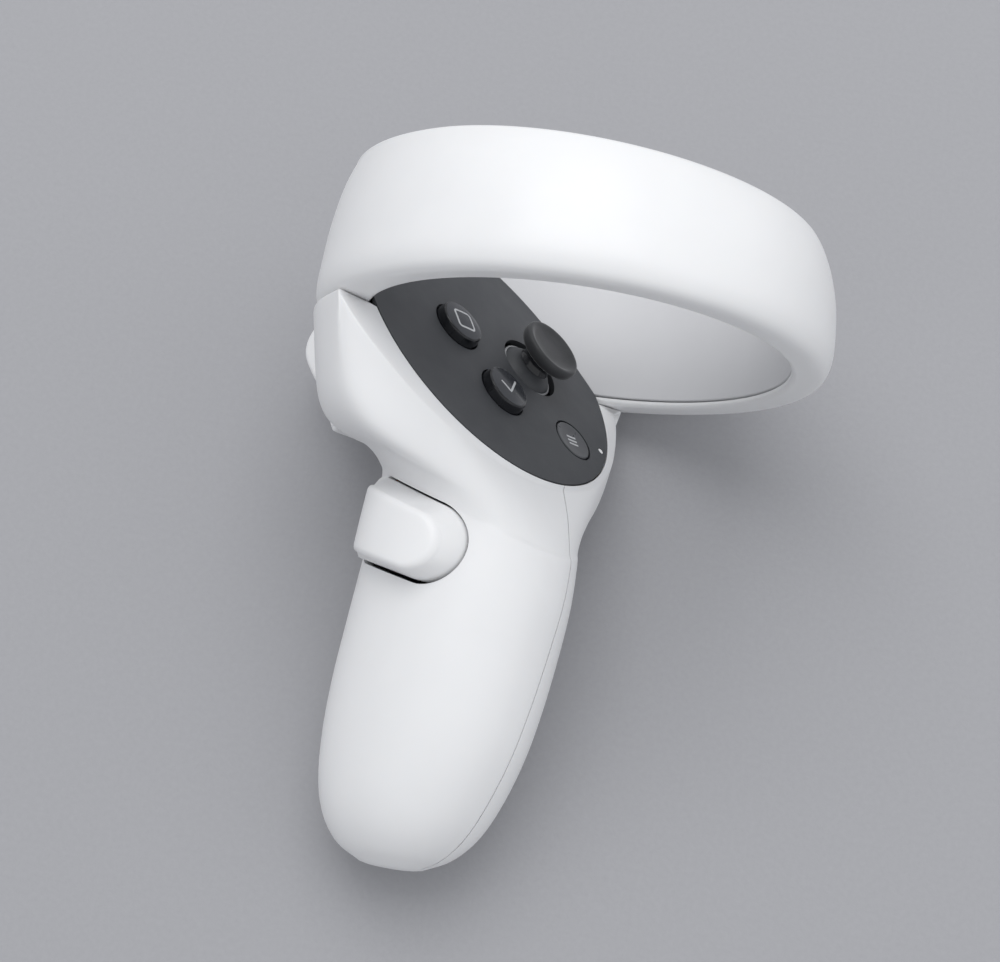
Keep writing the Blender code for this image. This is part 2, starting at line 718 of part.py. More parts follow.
def grip_button(root):
    """A paddle on the handle's left side: the handle's own surface raised, inside a leaning outline with a round end."""
    pivot = empty("grip_hinge", root, GRIP_PIVOT)
    rings = []
    for height, half_width, half_depth, centre_y in (GRIP_TOP_SECTION,) + HANDLE_SECTIONS[:2]:
        ring = []
        for phi in angles(BODY_SIDES):
            x, y = oval_point(phi, half_width + GRIP_PROUD, half_depth - GRIP_FLATTEN, centre_y)
            ring.append(Vector((x, y, height)) - Vector(GRIP_PIVOT))
        rings.append(ring)
    paddle = add_part("grip_button", loft_mesh("grip_button", rings), (WHITE, 0.45, 0.0), pivot)
    outline = add_cutter(
        "grip_outline", grip_outline_mesh("grip_outline", 0.0, GRIP_DRAFT), grip_frame("grip_outline_frame", root)
    )
    apply_boolean(paddle, outline, "INTERSECT")
    pin = cylinder_mesh("grip_axle", GRIP_AXLE_RADIUS, -GRIP_AXLE_HALF, GRIP_AXLE_HALF, segments=20)
    axle = add_part("grip_axle", pin, (STEEL, 0.3, 1.0), root)
    axle.location = Vector(GRIP_PIVOT) * MM
    cut_cylinder(paddle, "grip_bore", GRIP_AXLE_RADIUS + GAP, -30.0, 30.0, (0.0, 0.0), pivot)
    return pivot


def grip_frame(name, root):
    """An empty whose Z points out of the handle's left side and whose X runs forward along the paddle."""
    turn = Matrix(((0, 0, -1), (1, 0, 0), (0, -1, 0))).to_euler()
    frame = empty(name, root, GRIP_CENTRE, turn)
    frame.matrix_basis = frame.matrix_basis @ Matrix.Rotation(-GRIP_LEAN, 4, "Z")
    return frame


def grip_outline(grow):
    """The paddle's outline, forward and down the handle: a half round rear end and a straight front."""
    radius = GRIP_RADIUS + grow
    outline = []
    for turn in (math.pi / 2 + math.pi * i / 14 for i in range(15)):
        outline.append((GRIP_REAR + radius * math.cos(turn), radius * math.sin(turn)))
    for side, (reach, half_width) in zip((-1, 1), GRIP_FRONT):
        outline.append((reach + grow, side * (half_width + grow)))
    return outline


def grip_outline_mesh(name, grow, draft):
    """From inside the handle out past the paddle, its sides drawing in by draft once they leave the surface."""
    levels = ((GRIP_FLOOR - 2.0 * grow, grow), (GRIP_SKIN, grow), (GRIP_REACH, grow - draft))
    rings = [[(x, y, height) for x, y in grip_outline(size)] for height, size in levels]
    return loft_mesh(name, rings)


def cut_grip_window(left, root):
    frame = grip_frame("grip_window_frame", root)
    window = add_cutter("grip_window", grip_outline_mesh("grip_window", GRIP_CLEARANCE, 0.0), frame)
    apply_boolean(left, window)


# ---------------------------------------------------------------- battery


def battery_parts(root):
    """AA cell, the tray that holds it, and its contacts, along the handle's own leaning axis."""
    axis = empty("battery_axis", root, CELL_CENTRE, (HANDLE_LEAN, 0.0, 0.0))
    half = CELL_LENGTH / 2
    profile = (
        (0.2, half),
        (2.6, half),
        (2.6, half - 1.2),
        (CELL_RADIUS - 0.4, half - 1.2),
        (CELL_RADIUS, half - 1.7),
        (CELL_RADIUS, -half + 0.4),
        (CELL_RADIUS - 0.4, -half),
        (0.2, -half),
    )
    add_part("battery_cell", turned_mesh("battery_cell", profile, 32), ((0.1, 0.25, 0.55, 1.0), 0.3, 0.4), axis)
    tray_mesh = cylinder_mesh("battery_tray", 8.5, -half - 4.6, half + 2.4, segments=40)
    tray = add_part("battery_tray", tray_mesh, (DARK, 0.6, 0.0), axis)
    cut_cylinder(tray, "tray_bore", CELL_RADIUS + GAP, -half - 3.6, half + 1.2, (0.0, 0.0), axis)
    cut_box(tray, "tray_mouth", (3.0, -20.0, -60.0), (20.0, 20.0, 60.0), axis)
    contact = cylinder_mesh("positive_contact", 4.0, half + 0.3, half + 0.9, segments=24)
    add_part("positive_contact", contact, (STEEL, 0.25, 1.0), axis)
    add_part("negative_spring", coil_mesh("negative_spring", 3.0, 0.4, 2.0, -half - 3.2, -half - 0.3),
             (STEEL, 0.25, 1.0), axis)
    return axis


def coil_mesh(name, radius, wire, turns, low, high, steps=14):
    """A round-wire coil about Z, as a mesh tube with closed ends."""
    rings = []
    count = int(turns * steps)
    rise = (high - low - 2 * wire) / (2 * math.pi * turns)
    for i in range(count + 1):
        angle = 2 * math.pi * i / steps
        centre = Vector((radius * math.cos(angle), radius * math.sin(angle), low + wire + rise * angle))
        outward = Vector((math.cos(angle), math.sin(angle), 0.0))
        along = Vector((-radius * math.sin(angle), radius * math.cos(angle), rise)).normalized()
        side = along.cross(outward)
        rings.append([centre + wire * (outward * math.cos(a) + side * math.sin(a)) for a in angles(6)])
    return loft_mesh(name, rings)


# ---------------------------------------------------------------- small inner pieces


def return_springs(root):
    """Coil springs behind the trigger and the grip button."""
    x, y, z = TRIGGER_PIVOT
    add_spring("trigger_spring", (x - 2.8, y, z), (0.0, math.radians(90), 0.0), 1.7, 5.6, root)
    add_spring("grip_spring", (-9.6, -9.0, -40.0), (0.0, math.radians(-90), 0.0), 2.2, 3.6, root)


def add_spring(name, at, rotation, radius, length, root):
    obj = add_part(name, coil_mesh(name, radius, 0.3, 3.5, 0.0, length), (STEEL, 0.3, 1.0), root)
    obj.location = Vector(at) * MM
    obj.rotation_euler = rotation


def haptics(root):
    look = (STEEL, 0.35, 0.8)
    low, high = (-19.0, 9.5, -17.0), (-9.0, 19.0, -13.0)
    add_part("haptic_actuator", box_mesh("haptic_actuator", low, high, rounded=1.0), look, root)


def stand_on_ground(root):
    """Moves the controller so that the middle of the bottom of its box is the origin."""
    bpy.context.view_layer.update()
    graph = bpy.context.evaluated_depsgraph_get()
    corners = []
    for obj in PARTS.objects:
        if obj.type != "MESH":
            continue
        evaluated = obj.evaluated_get(graph)
        corners += [evaluated.matrix_world @ vertex.co for vertex in evaluated.data.vertices]
    low = Vector([min(corner[i] for corner in corners) for i in range(3)])
    high = Vector([max(corner[i] for corner in corners) for i in range(3)])
    root.location = -Vector(((low.x + high.x) / 2, (low.y + high.y) / 2, low.z))
    bpy.context.view_layer.update()


def lying_rotation():
    up = REST_UP.normalized()
    handle = Vector((0.0, 0.0, 1.0))
    along = (handle - up * handle.dot(up)).normalized()
    return Matrix((along.cross(up), along, up)).to_euler()


clear_scene()
PARTS = new_collection("motion_controller")
CUTTERS = new_collection("cutters")

controller = empty("controller_frame", None, rotation=lying_rotation())
plate_frame = empty("plate_frame", controller, rotation=(PLATE_TILT, 0.0, 0.0))

ring_outer_shell(controller)
ring_inner_liner(controller)
led_strip(controller)
left_shell, right_shell, cover_shell = body_shells(controller)
face_plate(controller, plate_frame)
plate_controls(plate_frame)
thumbstick(plate_frame)
boards(controller, plate_frame)
trigger(controller)
grip_button(controller)
cut_grip_window(left_shell, controller)
battery_parts(controller)
return_springs(controller)
haptics(controller)
stand_on_ground(controller)
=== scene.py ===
"""Looks of the tracked motion controller: fine shells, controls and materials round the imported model.

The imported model's inner pieces are kept as they come, in their plain colours.
"""
import json
import math

import bmesh
import bpy
from mathutils import Matrix, Vector
from mathutils.bvhtree import BVHTree


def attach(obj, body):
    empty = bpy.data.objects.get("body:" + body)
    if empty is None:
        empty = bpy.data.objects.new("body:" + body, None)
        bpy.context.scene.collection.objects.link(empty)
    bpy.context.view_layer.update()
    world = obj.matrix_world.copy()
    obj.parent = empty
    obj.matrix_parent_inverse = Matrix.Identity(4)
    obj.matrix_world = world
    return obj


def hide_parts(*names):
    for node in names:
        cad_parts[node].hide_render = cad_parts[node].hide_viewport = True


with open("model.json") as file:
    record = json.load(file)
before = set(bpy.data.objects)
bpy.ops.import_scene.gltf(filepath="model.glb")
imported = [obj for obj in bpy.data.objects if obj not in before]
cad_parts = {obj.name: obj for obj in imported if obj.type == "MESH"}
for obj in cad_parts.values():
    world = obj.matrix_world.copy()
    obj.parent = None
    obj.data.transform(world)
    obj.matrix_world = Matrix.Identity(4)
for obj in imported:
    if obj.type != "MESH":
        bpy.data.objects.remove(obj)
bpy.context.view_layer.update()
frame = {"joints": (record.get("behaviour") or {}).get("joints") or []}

MM = 0.001
GAP = 0.3  # between pieces that touch
FAR = 120.0  # past the controller's ends

# The ring: its bore, its outline, and how it rises towards the trigger.
RING_CENTRE_Y = -22.5
BORE_RADIUS = 39.6
RING_SIDE = 47.0
RING_FRONT = 53.4
RING_BOTTOM = -1.7
RING_TOP = 23.6
LIP_HEIGHT = -0.4
LINER_TOP = 21.9
LINER_THICK = 1.6
RING_WAIST = 7.0
RING_FRONT_RISE = 5.0
RING_FRONT_CROWN = 0.4

# The face plate and the body under it.
PLATE_TILT = math.radians(54.5)
PLATE_RADIUS = 32.4
PLATE_THICK = 1.6
WALL = 2.0
HEAD_TOP = RING_BOTTOM - GAP
LIP_RADIUS = 30.3
LIP_WIDTH = 3.0
RIM_EDGE = 0.12
RIDGE_REAR = 33.5
RIDGE_GROWTH = 7.6
RIDGE_DROP = 0.7
RIDGE_TUCK = 2.9
RIDGE_CORNER = 0.85
RIDGE_ROUNDING = 0.45
# how far past the plate's middle line the rear runs of ridge and seat begin
RIDGE_LIMIT = math.radians(2.7)
SEAT_LIMIT = math.radians(4.0)
ROUNDNESS = 2.2
NECK_HEIGHT = -35.0
NECK_SLOPE = 7.0
# half width, half depth, centre y
NECK = (17.4, 20.4, -4.7)
HANDLE_SLOPE = 3.0
# height, half width, half depth, centre y
HANDLE_SECTIONS = (
    (-46.0, 17.6, 21.0, -4.2),
    (-57.0, 17.8, 21.2, -3.0),
    (-68.0, 17.6, 20.9, -1.5),
    (-78.0, 16.8, 20.0, -0.1),
    (-87.0, 15.3, 18.0, 1.3),
    (-93.5, 13.0, 15.2, 2.1),
    (-98.0, 9.6, 11.2, 2.6),
    (-100.6, 5.2, 6.2, 2.8),
)
# share of the last section, and how far below it
BUTT_CAP = ((0.72, 0.34), (0.40, 0.50), (0.12, 0.55))
# share of the way in from ridge to neck, share of the way down
FRONT_PROFILE = ((0.12, 0.37), (0.20, 0.55), (0.32, 0.66), (0.52, 0.725), (0.74, 0.77), (0.92, 0.87))
REAR_PROFILE = ((0.15, 0.12), (0.33, 0.27), (0.50, 0.42), (0.66, 0.58), (0.80, 0.73), (0.92, 0.88))
# averaging passes for each head ring
HEAD_EASING = (14, 40, 70, 100, 110, 90)
SPLIT_X = 4.6
SPLIT_HEIGHT = -58.0
SPLIT_LEAN = 0.075
COVER_TOP = -37.0
COVER_INSET = 7.2

# Controls: x and v on the plate.
UPPER_BUTTON = (-8.9, 1.7)
LOWER_BUTTON = (-2.0, -12.3)
HOME_BUTTON = (16.6, -17.7)
STICK = (11.3, -1.0)
STATUS_LED = (25.5, -17.4)
LED_HOLE = 0.75
BUTTON_RADIUS = 5.2
BUTTON_CLEARANCE = 0.27
BUTTON_TOP = 1.75
BUTTON_DOME = 0.45
BUTTON_TAPER = 0.35
CAP_EDGE = 0.4
MARK_WIDTH = 0.46
MARK_THICK = 0.05
BUTTON_FLANGE = 6.2
HOME_RADIUS = 4.5
HOME_TOP = 0.1
HOME_DISH = -0.35
HOME_FLANGE = 4.9
HOME_MARK_WIDTH = 0.38
STICK_HOLE = 6.9
STICK_PIVOT = -5.5
STICK_LOW = 1.2
DOME_RADIUS = 7.5
DOME_EDGE = 5.9
DOME_THICK = 0.8
DOME_BORE = 1.6

# Trigger and grip button.
TRIGGER_PIVOT = (0.0, 23.5, -8.7)
TRIGGER_HALF_WIDTH = 10.6
TRIGGER_ROOT_HALF_WIDTH = 9.6
TRIGGER_ROUNDING = 1.5
TRIGGER_CLEARANCE = 0.8
# start y, lowest and highest z of the two boxes that open the head for the lever
TRIGGER_WINDOW = ((24.0, -14.0, 3.0), (25.3, -30.0, -13.0))
TRIGGER_BORE = 1.3
SPRING_SLOT_HALF = 3.3
# y and z round the lever's side, from the root over the top to the tip and back
TRIGGER_PROFILE = (
    (21.4, -7.0), (25.2, -6.4), (27.6, -3.4), (32.2, -2.3), (32.7, -0.4), (33.3, 2.6), (34.9, 4.9),
    (37.6, 5.4), (40.6, 3.8), (42.5, 0.6), (42.1, -3.0), (38.6, -7.4), (34.4, -11.4), (32.0, -14.8),
    (30.8, -17.4), (29.8, -18.8), (28.6, -17.8), (29.0, -15.4), (30.2, -13.0), (30.2, -11.3),
    (28.4, -10.8), (25.2, -11.1), (21.4, -10.6),
)
GRIP_CENTRE = (0.0, -5.0, -41.4)
GRIP_LEAN = math.radians(15.0)
GRIP_RADIUS = 7.2
GRIP_REAR = -4.5
# front corners of the paddle: forward, half width
GRIP_FRONT = ((13.2, 8.2), (13.4, 7.6))
GRIP_PROUD = 5.6
GRIP_FLOOR = 14.0
GRIP_SKIN = 17.8
GRIP_DRAFT = 1.5
GRIP_SHIFT = 0.7
GRIP_ROUNDING = 1.3
GRIP_CORNER = 2.2
GRIP_MIDDLE = (4.0, 0.0)
GRIP_FLATTEN = 1.4
# height, half width, half depth, centre y of the raised surface above the handle's sections
GRIP_TOP_SECTION = (-26.0, 17.2, 20.2, -5.0)
GRIP_CLEARANCE = 0.6
GRIP_FRONT_CLEARANCE = 0.7
GRIP_WINDOW_SHIFT = 0.15
GRIP_WINDOW_REACH = (9.0, 28.0)

# How finely the surfaces are made.
RING_STATIONS = 256
BODY_SIDES = 224
CURVE_STEPS = 5
ROUND_SIDES = 128

# The view, in the controller's own frame.
EYE = (-268.5, -264.2, -98.4)
VIEW_FORWARD = (0.7110, 0.6772, 0.1893)
VIEW_UP = (-0.2496, -0.0087, 0.9683)
SENSOR_WIDTH = 36.0
FOCAL_LENGTH = 72.0

# The grain of moulded plastic, the floor and the light, in metres and watts.
GRAIN_SIZE = 0.00016
FLOOR_HALF = 1.6
ROOM_COLOUR = (0.95, 0.97, 1.0)
ROOM_STRENGTH = 0.73
LIGHT_AIM = (0.0, 0.0, 0.04)
# name, place, size, power
LIGHTS = (
    ("key_light", (-0.06, 0.3, 0.85), 0.7, 3.7),
    ("fill_light", (0.75, 0.05, 0.6), 0.9, 0.8),
)


# ---------------------------------------------------------------- the controller's frame in the world


def on_plate(x, v, h):
    """A place on the face plate, in the controller's own frame."""
    cos, sin = math.cos(PLATE_TILT), math.sin(PLATE_TILT)
    return Vector((x, v * cos - h * sin, v * sin + h * cos))


def controller_matrix():
    """From the controller's frame, in millimetres, to the world, as the joints' axes and places give it."""
    joints = {joint["name"]: joint for joint in frame["joints"]}
    x_axis = -Vector(joints["trigger_pull"]["axis"]).normalized()
    z_axis = Vector(joints["grip_squeeze"]["axis"]).normalized()
    y_axis = z_axis.cross(x_axis).normalized()
    x_axis = y_axis.cross(z_axis)
    turn = Matrix((x_axis, y_axis, z_axis)).transposed()
    stick = Vector(joints["stick_tilt_forward"]["pos_m"])
    origin = stick - turn @ on_plate(STICK[0], STICK[1], STICK_PIVOT) * MM
    return Matrix.Translation(origin) @ turn.to_4x4() @ Matrix.Scale(MM, 4)


WORLD = controller_matrix()
PLATE = WORLD @ Matrix.Rotation(PLATE_TILT, 4, "X")
STICK_FRAME = PLATE @ Matrix.Translation((STICK[0], STICK[1], STICK_PIVOT))
TRIGGER_FRAME = WORLD @ Matrix.Translation(TRIGGER_PIVOT)


def grip_matrix():
    """Z points out of the handle's left side, and X runs forward along the paddle."""
    turn = Matrix(((0, 0, -1), (1, 0, 0), (0, -1, 0))).to_4x4()
    return Matrix.Translation(GRIP_CENTRE) @ turn @ Matrix.Rotation(-GRIP_LEAN, 4, "Z")


GRIP = grip_matrix()
PARTING = Matrix.Translation((SPLIT_X, 0.0, SPLIT_HEIGHT)) @ Matrix.Rotation(math.atan(SPLIT_LEAN), 4, "Y")


# ---------------------------------------------------------------- materials


def start_material(name):
    """A new material, its node tree and its shader."""
    made = bpy.data.materials.new(name)
    made.use_nodes = True
    shader = made.node_tree.nodes["Principled BSDF"]
    return made, made.node_tree, shader


def texture_place(tree):
    """Places in the object's own metres."""
    return tree.nodes.new("ShaderNodeTexCoord").outputs["Object"]


def noise(tree, place, scale, detail=3.0, roughness=0.55, distortion=0.0):
    node = tree.nodes.new("ShaderNodeTexNoise")
    node.inputs["Scale"].default_value = scale
    node.inputs["Detail"].default_value = detail
    node.inputs["Roughness"].default_value = roughness
    node.inputs["Distortion"].default_value = distortion
    tree.links.new(place, node.inputs["Vector"])
    return node.outputs["Fac"]


def spread(tree, value, low, high, to_low, to_high):
    """Maps low to high onto another range."""
    node = tree.nodes.new("ShaderNodeMapRange")
    node.inputs["From Min"].default_value = low
    node.inputs["From Max"].default_value = high
    node.inputs["To Min"].default_value = to_low
    node.inputs["To Max"].default_value = to_high
    tree.links.new(value, node.inputs["Value"])
    return node.outputs["Result"]


def ramp(tree, value, stops):
    """Colours at (place, colour) stops."""
    node = tree.nodes.new("ShaderNodeValToRGB")
    elements = node.color_ramp.elements
    while len(elements) < len(stops):
        elements.new(0.5)
    for element, (place, colour) in zip(elements, stops):
        element.position = place
        element.color = (*colour, 1.0)
    tree.links.new(value, node.inputs["Fac"])
    return node.outputs["Color"]


def bump(tree, shader, heights):
    """Chains (height, strength, distance) bumps into the shader's normal."""
    last = None
    for height, strength, distance in heights:
        node = tree.nodes.new("ShaderNodeBump")
        node.inputs["Strength"].default_value = strength
        node.inputs["Distance"].default_value = distance
        tree.links.new(height, node.inputs["Height"])
        if last:
            tree.links.new(last, node.inputs["Normal"])
        last = node.outputs["Normal"]
    tree.links.new(last, shader.inputs["Normal"])


def moulded_plastic(name, dark, light, smooth, rough, grain):
    """Injection-moulded plastic: faint cloudy shade, spark-eroded grain, and roughness that wanders."""
    made, tree, shader = start_material(name)
    place = texture_place(tree)
    cloud = noise(tree, place, 26.0, 4.0, 0.6, 0.4)
    tree.links.new(ramp(tree, cloud, ((0.3, dark), (0.7, light))), shader.inputs["Base Color"])
    handled = noise(tree, place, 70.0, 5.0, 0.6, 0.8)
    tree.links.new(spread(tree, handled, 0.3, 0.7, smooth, rough), shader.inputs["Roughness"])
    fine = noise(tree, place, 1.0 / GRAIN_SIZE, 2.0, 0.5)
    sink = noise(tree, place, 45.0, 1.0, 0.4)
    bump(tree, shader, ((sink, 0.05, 0.0004), (fine, grain, 0.00003)))
    return made


def white_shell():
    """White plastic that lets a little light in under its surface."""
    made = moulded_plastic("white_shell", (0.80, 0.80, 0.805), (0.835, 0.835, 0.84), 0.34, 0.46, 0.22)
    shader = made.node_tree.nodes["Principled BSDF"]
    shader.inputs["Subsurface Weight"].default_value = 0.12
    shader.inputs["Subsurface Scale"].default_value = 0.0015
    shader.inputs["Subsurface Radius"].default_value = (1.0, 0.9, 0.8)
    return made


def dark_plate():
    """Matt dark grey with fine pale specks in it."""
    made, tree, shader = start_material("dark_plate")
    place = texture_place(tree)
    cloud = noise(tree, place, 40.0, 4.0, 0.6, 0.5)
    base = ramp(tree, cloud, ((0.3, (0.050, 0.053, 0.058)), (0.7, (0.060, 0.063, 0.069))))
    speck = noise(tree, place, 2600.0, 1.0, 0.4)
    share = spread(tree, speck, 0.70, 0.80, 0.0, 0.35)
    mix = tree.nodes.new("ShaderNodeMix")
    mix.data_type = "RGBA"
    tree.links.new(share, mix.inputs["Factor"])
    tree.links.new(base, mix.inputs["A"])
    mix.inputs["B"].default_value = (0.12, 0.125, 0.135, 1.0)
    tree.links.new(mix.outputs["Result"], shader.inputs["Base Color"])
    rough = noise(tree, place, 90.0, 4.0, 0.6)
    tree.links.new(spread(tree, rough, 0.3, 0.7, 0.46, 0.58), shader.inputs["Roughness"])
    fine = noise(tree, place, 5200.0, 2.0, 0.5)
    bump(tree, shader, ((fine, 0.35, 0.00003),))
    return made


def polished(name, dark, light, smooth, rough):
    """Hard glossy plastic with faint handling haze and hairline scratches."""
    made, tree, shader = start_material(name)
    place = texture_place(tree)
    cloud = noise(tree, place, 120.0, 4.0, 0.6, 0.4)
    tree.links.new(ramp(tree, cloud, ((0.3, dark), (0.7, light))), shader.inputs["Base Color"])
    haze = noise(tree, place, 260.0, 5.0, 0.7, 1.2)
    tree.links.new(spread(tree, haze, 0.35, 0.75, smooth, rough), shader.inputs["Roughness"])
    stretch = tree.nodes.new("ShaderNodeMapping")
    stretch.inputs["Rotation"].default_value = (0.4, 0.7, 0.2)
    stretch.inputs["Scale"].default_value = (60.0, 2400.0, 900.0)
    tree.links.new(place, stretch.inputs["Vector"])
    scratch = noise(tree, stretch.outputs["Vector"], 1.0, 2.0, 0.5)
    bump(tree, shader, ((spread(tree, scratch, 0.66, 0.72, 0.0, 1.0), 0.06, 0.00001),))
    return made


def soft_touch():
    """Matt rubber paint, a little paler where thumbs have worn it."""
    made, tree, shader = start_material("soft_touch_rubber")
    place = texture_place(tree)
    worn = noise(tree, place, 150.0, 5.0, 0.6, 0.6)
    stops = ((0.3, (0.020, 0.021, 0.023)), (0.7, (0.034, 0.035, 0.038)))
    tree.links.new(ramp(tree, worn, stops), shader.inputs["Base Color"])
    tree.links.new(spread(tree, worn, 0.3, 0.7, 0.60, 0.46), shader.inputs["Roughness"])
    shader.inputs["Sheen Weight"].default_value = 0.25
    shader.inputs["Sheen Roughness"].default_value = 0.4
    fine = noise(tree, place, 3800.0, 2.0, 0.5)
    bump(tree, shader, ((fine, 0.3, 0.00004),))
    return made


def floor_material():
    """Pale grey background paper, with a soft fibre grain."""
    made, tree, shader = start_material("paper_floor")
    place = texture_place(tree)
    cloud = noise(tree, place, 3.0, 3.0, 0.5)
    fibre = noise(tree, place, 900.0, 4.0, 0.6)
    mixed = tree.nodes.new("ShaderNodeMath")
    mixed.operation = "MULTIPLY_ADD"
    tree.links.new(fibre, mixed.inputs[0])
    mixed.inputs[1].default_value = 0.5
    tree.links.new(spread(tree, cloud, 0.3, 0.7, 0.2, 0.32), mixed.inputs[2])
    stops = ((0.3, (0.335, 0.335, 0.352)), (0.75, (0.385, 0.385, 0.402)))
    tree.links.new(ramp(tree, mixed.outputs["Value"], stops), shader.inputs["Base Color"])
    tree.links.new(spread(tree, fibre, 0.3, 0.7, 0.80, 0.95), shader.inputs["Roughness"])
    bump(tree, shader, ((fibre, 0.25, 0.0002),))
    return made


WHITE = white_shell()
LINER_WHITE = moulded_plastic("liner_white", (0.62, 0.62, 0.635), (0.66, 0.66, 0.675), 0.42, 0.52, 0.18)
PLATE_GREY = dark_plate()
GLOSS_BLACK = polished("gloss_black", (0.010, 0.011, 0.013), (0.016, 0.017, 0.020), 0.05, 0.14)
# painted reflection: the button tops are the same black plastic as the sides, coloured lighter grey for the
# light their domes reflect
PAINTED_TOP_REFLECTION = polished("button_grey", (0.040, 0.043, 0.049), (0.052, 0.055, 0.062), 0.12, 0.24)
HOME_GREY = polished("home_grey", (0.058, 0.061, 0.067), (0.072, 0.075, 0.082), 0.26, 0.38)
RUBBER = soft_touch()
MARK_GREY = moulded_plastic("mark_grey", (0.52, 0.53, 0.54), (0.60, 0.61, 0.62), 0.30, 0.42, 0.1)
# painted highlight: the pale grey stands for light glinting on the edge of the dark stick dome
PAINTED_RIM_HIGHLIGHT = moulded_plastic("rim_grey", (0.34, 0.35, 0.36), (0.42, 0.43, 0.44), 0.30, 0.42, 0.1)


# ---------------------------------------------------------------- mesh helpers


def angles(count):
    """Even steps round a full turn."""
    return [2 * math.pi * i / count for i in range(count)]


def smooth_step(value):
    value = min(max(value, 0.0), 1.0)
    return value * value * (3 - 2 * value)


def curve_point(before, start, end, after, share):
    """Catmull-Rom between start and end."""
    square = share * share
    cube = square * share
    return 0.5 * (
        2 * start
        + (end - before) * share
        + (2 * before - 5 * start + 4 * end - after) * square
        + (3 * start - before - 3 * end + after) * cube
    )


def smooth_open(points, steps=CURVE_STEPS):
    """A smooth curve through an open run of vectors."""
    made = []
    last = len(points) - 1
    for i in range(last):
        before = points[i - 1] if i else 2 * points[0] - points[1]
        after = points[i + 2] if i + 2 <= last else 2 * points[last] - points[last - 1]
        for step in range(steps):
            made.append(curve_point(before, points[i], points[i + 1], after, step / steps))
    return made + [points[last].copy()]


def smooth_closed(points, steps):
    """A smooth curve round a closed run of vectors."""
    count = len(points)
    made = []
    for i in range(count):
        four = [points[(i + k - 1) % count] for k in range(4)]
        made += [curve_point(*four, s / steps) for s in range(steps)]
    return made


def smooth_rows(rings):
    """Adds rings between rings, so that each lengthwise line is a smooth curve."""
    columns = [smooth_open(list(column)) for column in zip(*rings)]
    return [list(ring) for ring in zip(*columns)]


def loft(rings, closed=False):
    """Joins rings of equal length with quads, and caps both ends unless the last ring meets the first."""
    bm = bmesh.new()
    layers = [[bm.verts.new(point) for point in ring] for ring in rings]
    pairs = list(zip(layers, layers[1:]))
    if closed:
        pairs.append((layers[-1], layers[0]))
    for lower, upper in pairs:
        for i in range(len(lower)):
            j = (i + 1) % len(lower)
            bm.faces.new((lower[i], lower[j], upper[j], upper[i]))
    if not closed:
        bm.faces.new(layers[0][::-1])
        bm.faces.new(layers[-1])
    bmesh.ops.recalc_face_normals(bm, faces=bm.faces)
    return bm


def turned(profile, segments=ROUND_SIDES, closed=False):
    """A profile of (radius, height) turned about Z."""
    rings = [[Vector((r * math.cos(a), r * math.sin(a), h)) for a in angles(segments)] for r, h in profile]
    return loft(rings, closed)


def disc(radius, low, high, at=(0.0, 0.0), segments=ROUND_SIDES):
    """A round plate or pin along Z from low to high, about the place at."""
    bm = turned(((radius, low), (radius, high)), segments)
    bmesh.ops.translate(bm, vec=(at[0], at[1], 0.0), verts=bm.verts)
    return bm


def box(low, high):
    """A box between two opposite corners."""
    bm = bmesh.new()
    bmesh.ops.create_cube(bm, size=1.0)
    bmesh.ops.scale(bm, vec=[b - a for a, b in zip(low, high)], verts=bm.verts)
    bmesh.ops.translate(bm, vec=[(a + b) / 2 for a, b in zip(low, high)], verts=bm.verts)
    return bm


def make_object(name, bm, matrix):
    """The mesh in the world's metres, with its object at the origin."""
    bm.transform(matrix)
    mesh = bpy.data.meshes.new(name)
    bm.to_mesh(mesh)
    bm.free()
    made = bpy.data.objects.new(name, mesh)
    bpy.context.scene.collection.objects.link(made)
    return made


def boolean(obj, bm, matrix, operation="DIFFERENCE", solver="EXACT"):
    """Cuts or joins at once, and takes the cutter away again."""
    cutter = make_object("cutter", bm, matrix)
    modifier = obj.modifiers.new("cut", "BOOLEAN")
    modifier.operation = operation
    modifier.solver = solver
    modifier.object = cutter
    apply_modifiers(obj)
    bpy.data.objects.remove(cutter, do_unlink=True)


def apply_modifiers(obj):
    """Replaces the mesh with what the modifiers make of it."""
    bpy.context.view_layer.update()
    graph = bpy.context.evaluated_depsgraph_get()
    mesh = bpy.data.meshes.new_from_object(obj.evaluated_get(graph))
    obj.modifiers.clear()
    obj.data = mesh


def soften_edges(obj, width, angle, segments):
    """Rounds every edge sharper than the angle, and keeps the flats flat."""
    bevel = obj.modifiers.new("rounding", "BEVEL")
    bevel.width = width * MM
    bevel.segments = segments
    bevel.limit_method = "ANGLE"
    bevel.angle_limit = math.radians(angle)
    bevel.use_clamp_overlap = True
    obj.data.shade_smooth()
    flat = obj.modifiers.new("flats", "WEIGHTED_NORMAL")
    flat.keep_sharp = True
    apply_modifiers(obj)


def finish_piece(obj, look, body, nodes=(), sharp=40.0):
    """Dresses a piece, parents it to the empty of the body it rides, and hides the model's nodes that it
    stands for.
    """
    obj.data.materials.clear()
    obj.data.materials.append(look)
    if sharp:
        obj.data.shade_smooth()
        obj.data.set_sharp_from_angle(angle=math.radians(sharp))
    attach(obj, body)
    if nodes:
        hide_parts(*nodes)
    return obj


# ---------------------------------------------------------------- ring


def ring_outline(beta, inset=0.0):
    """The ring's outer outline seen along its axis: round behind, longer in front."""
    length = RING_FRONT if math.sin(beta) > 0 else RING_SIDE
    return Vector(((RING_SIDE - inset) * math.cos(beta), RING_CENTRE_Y + (length - inset) * math.sin(beta)))


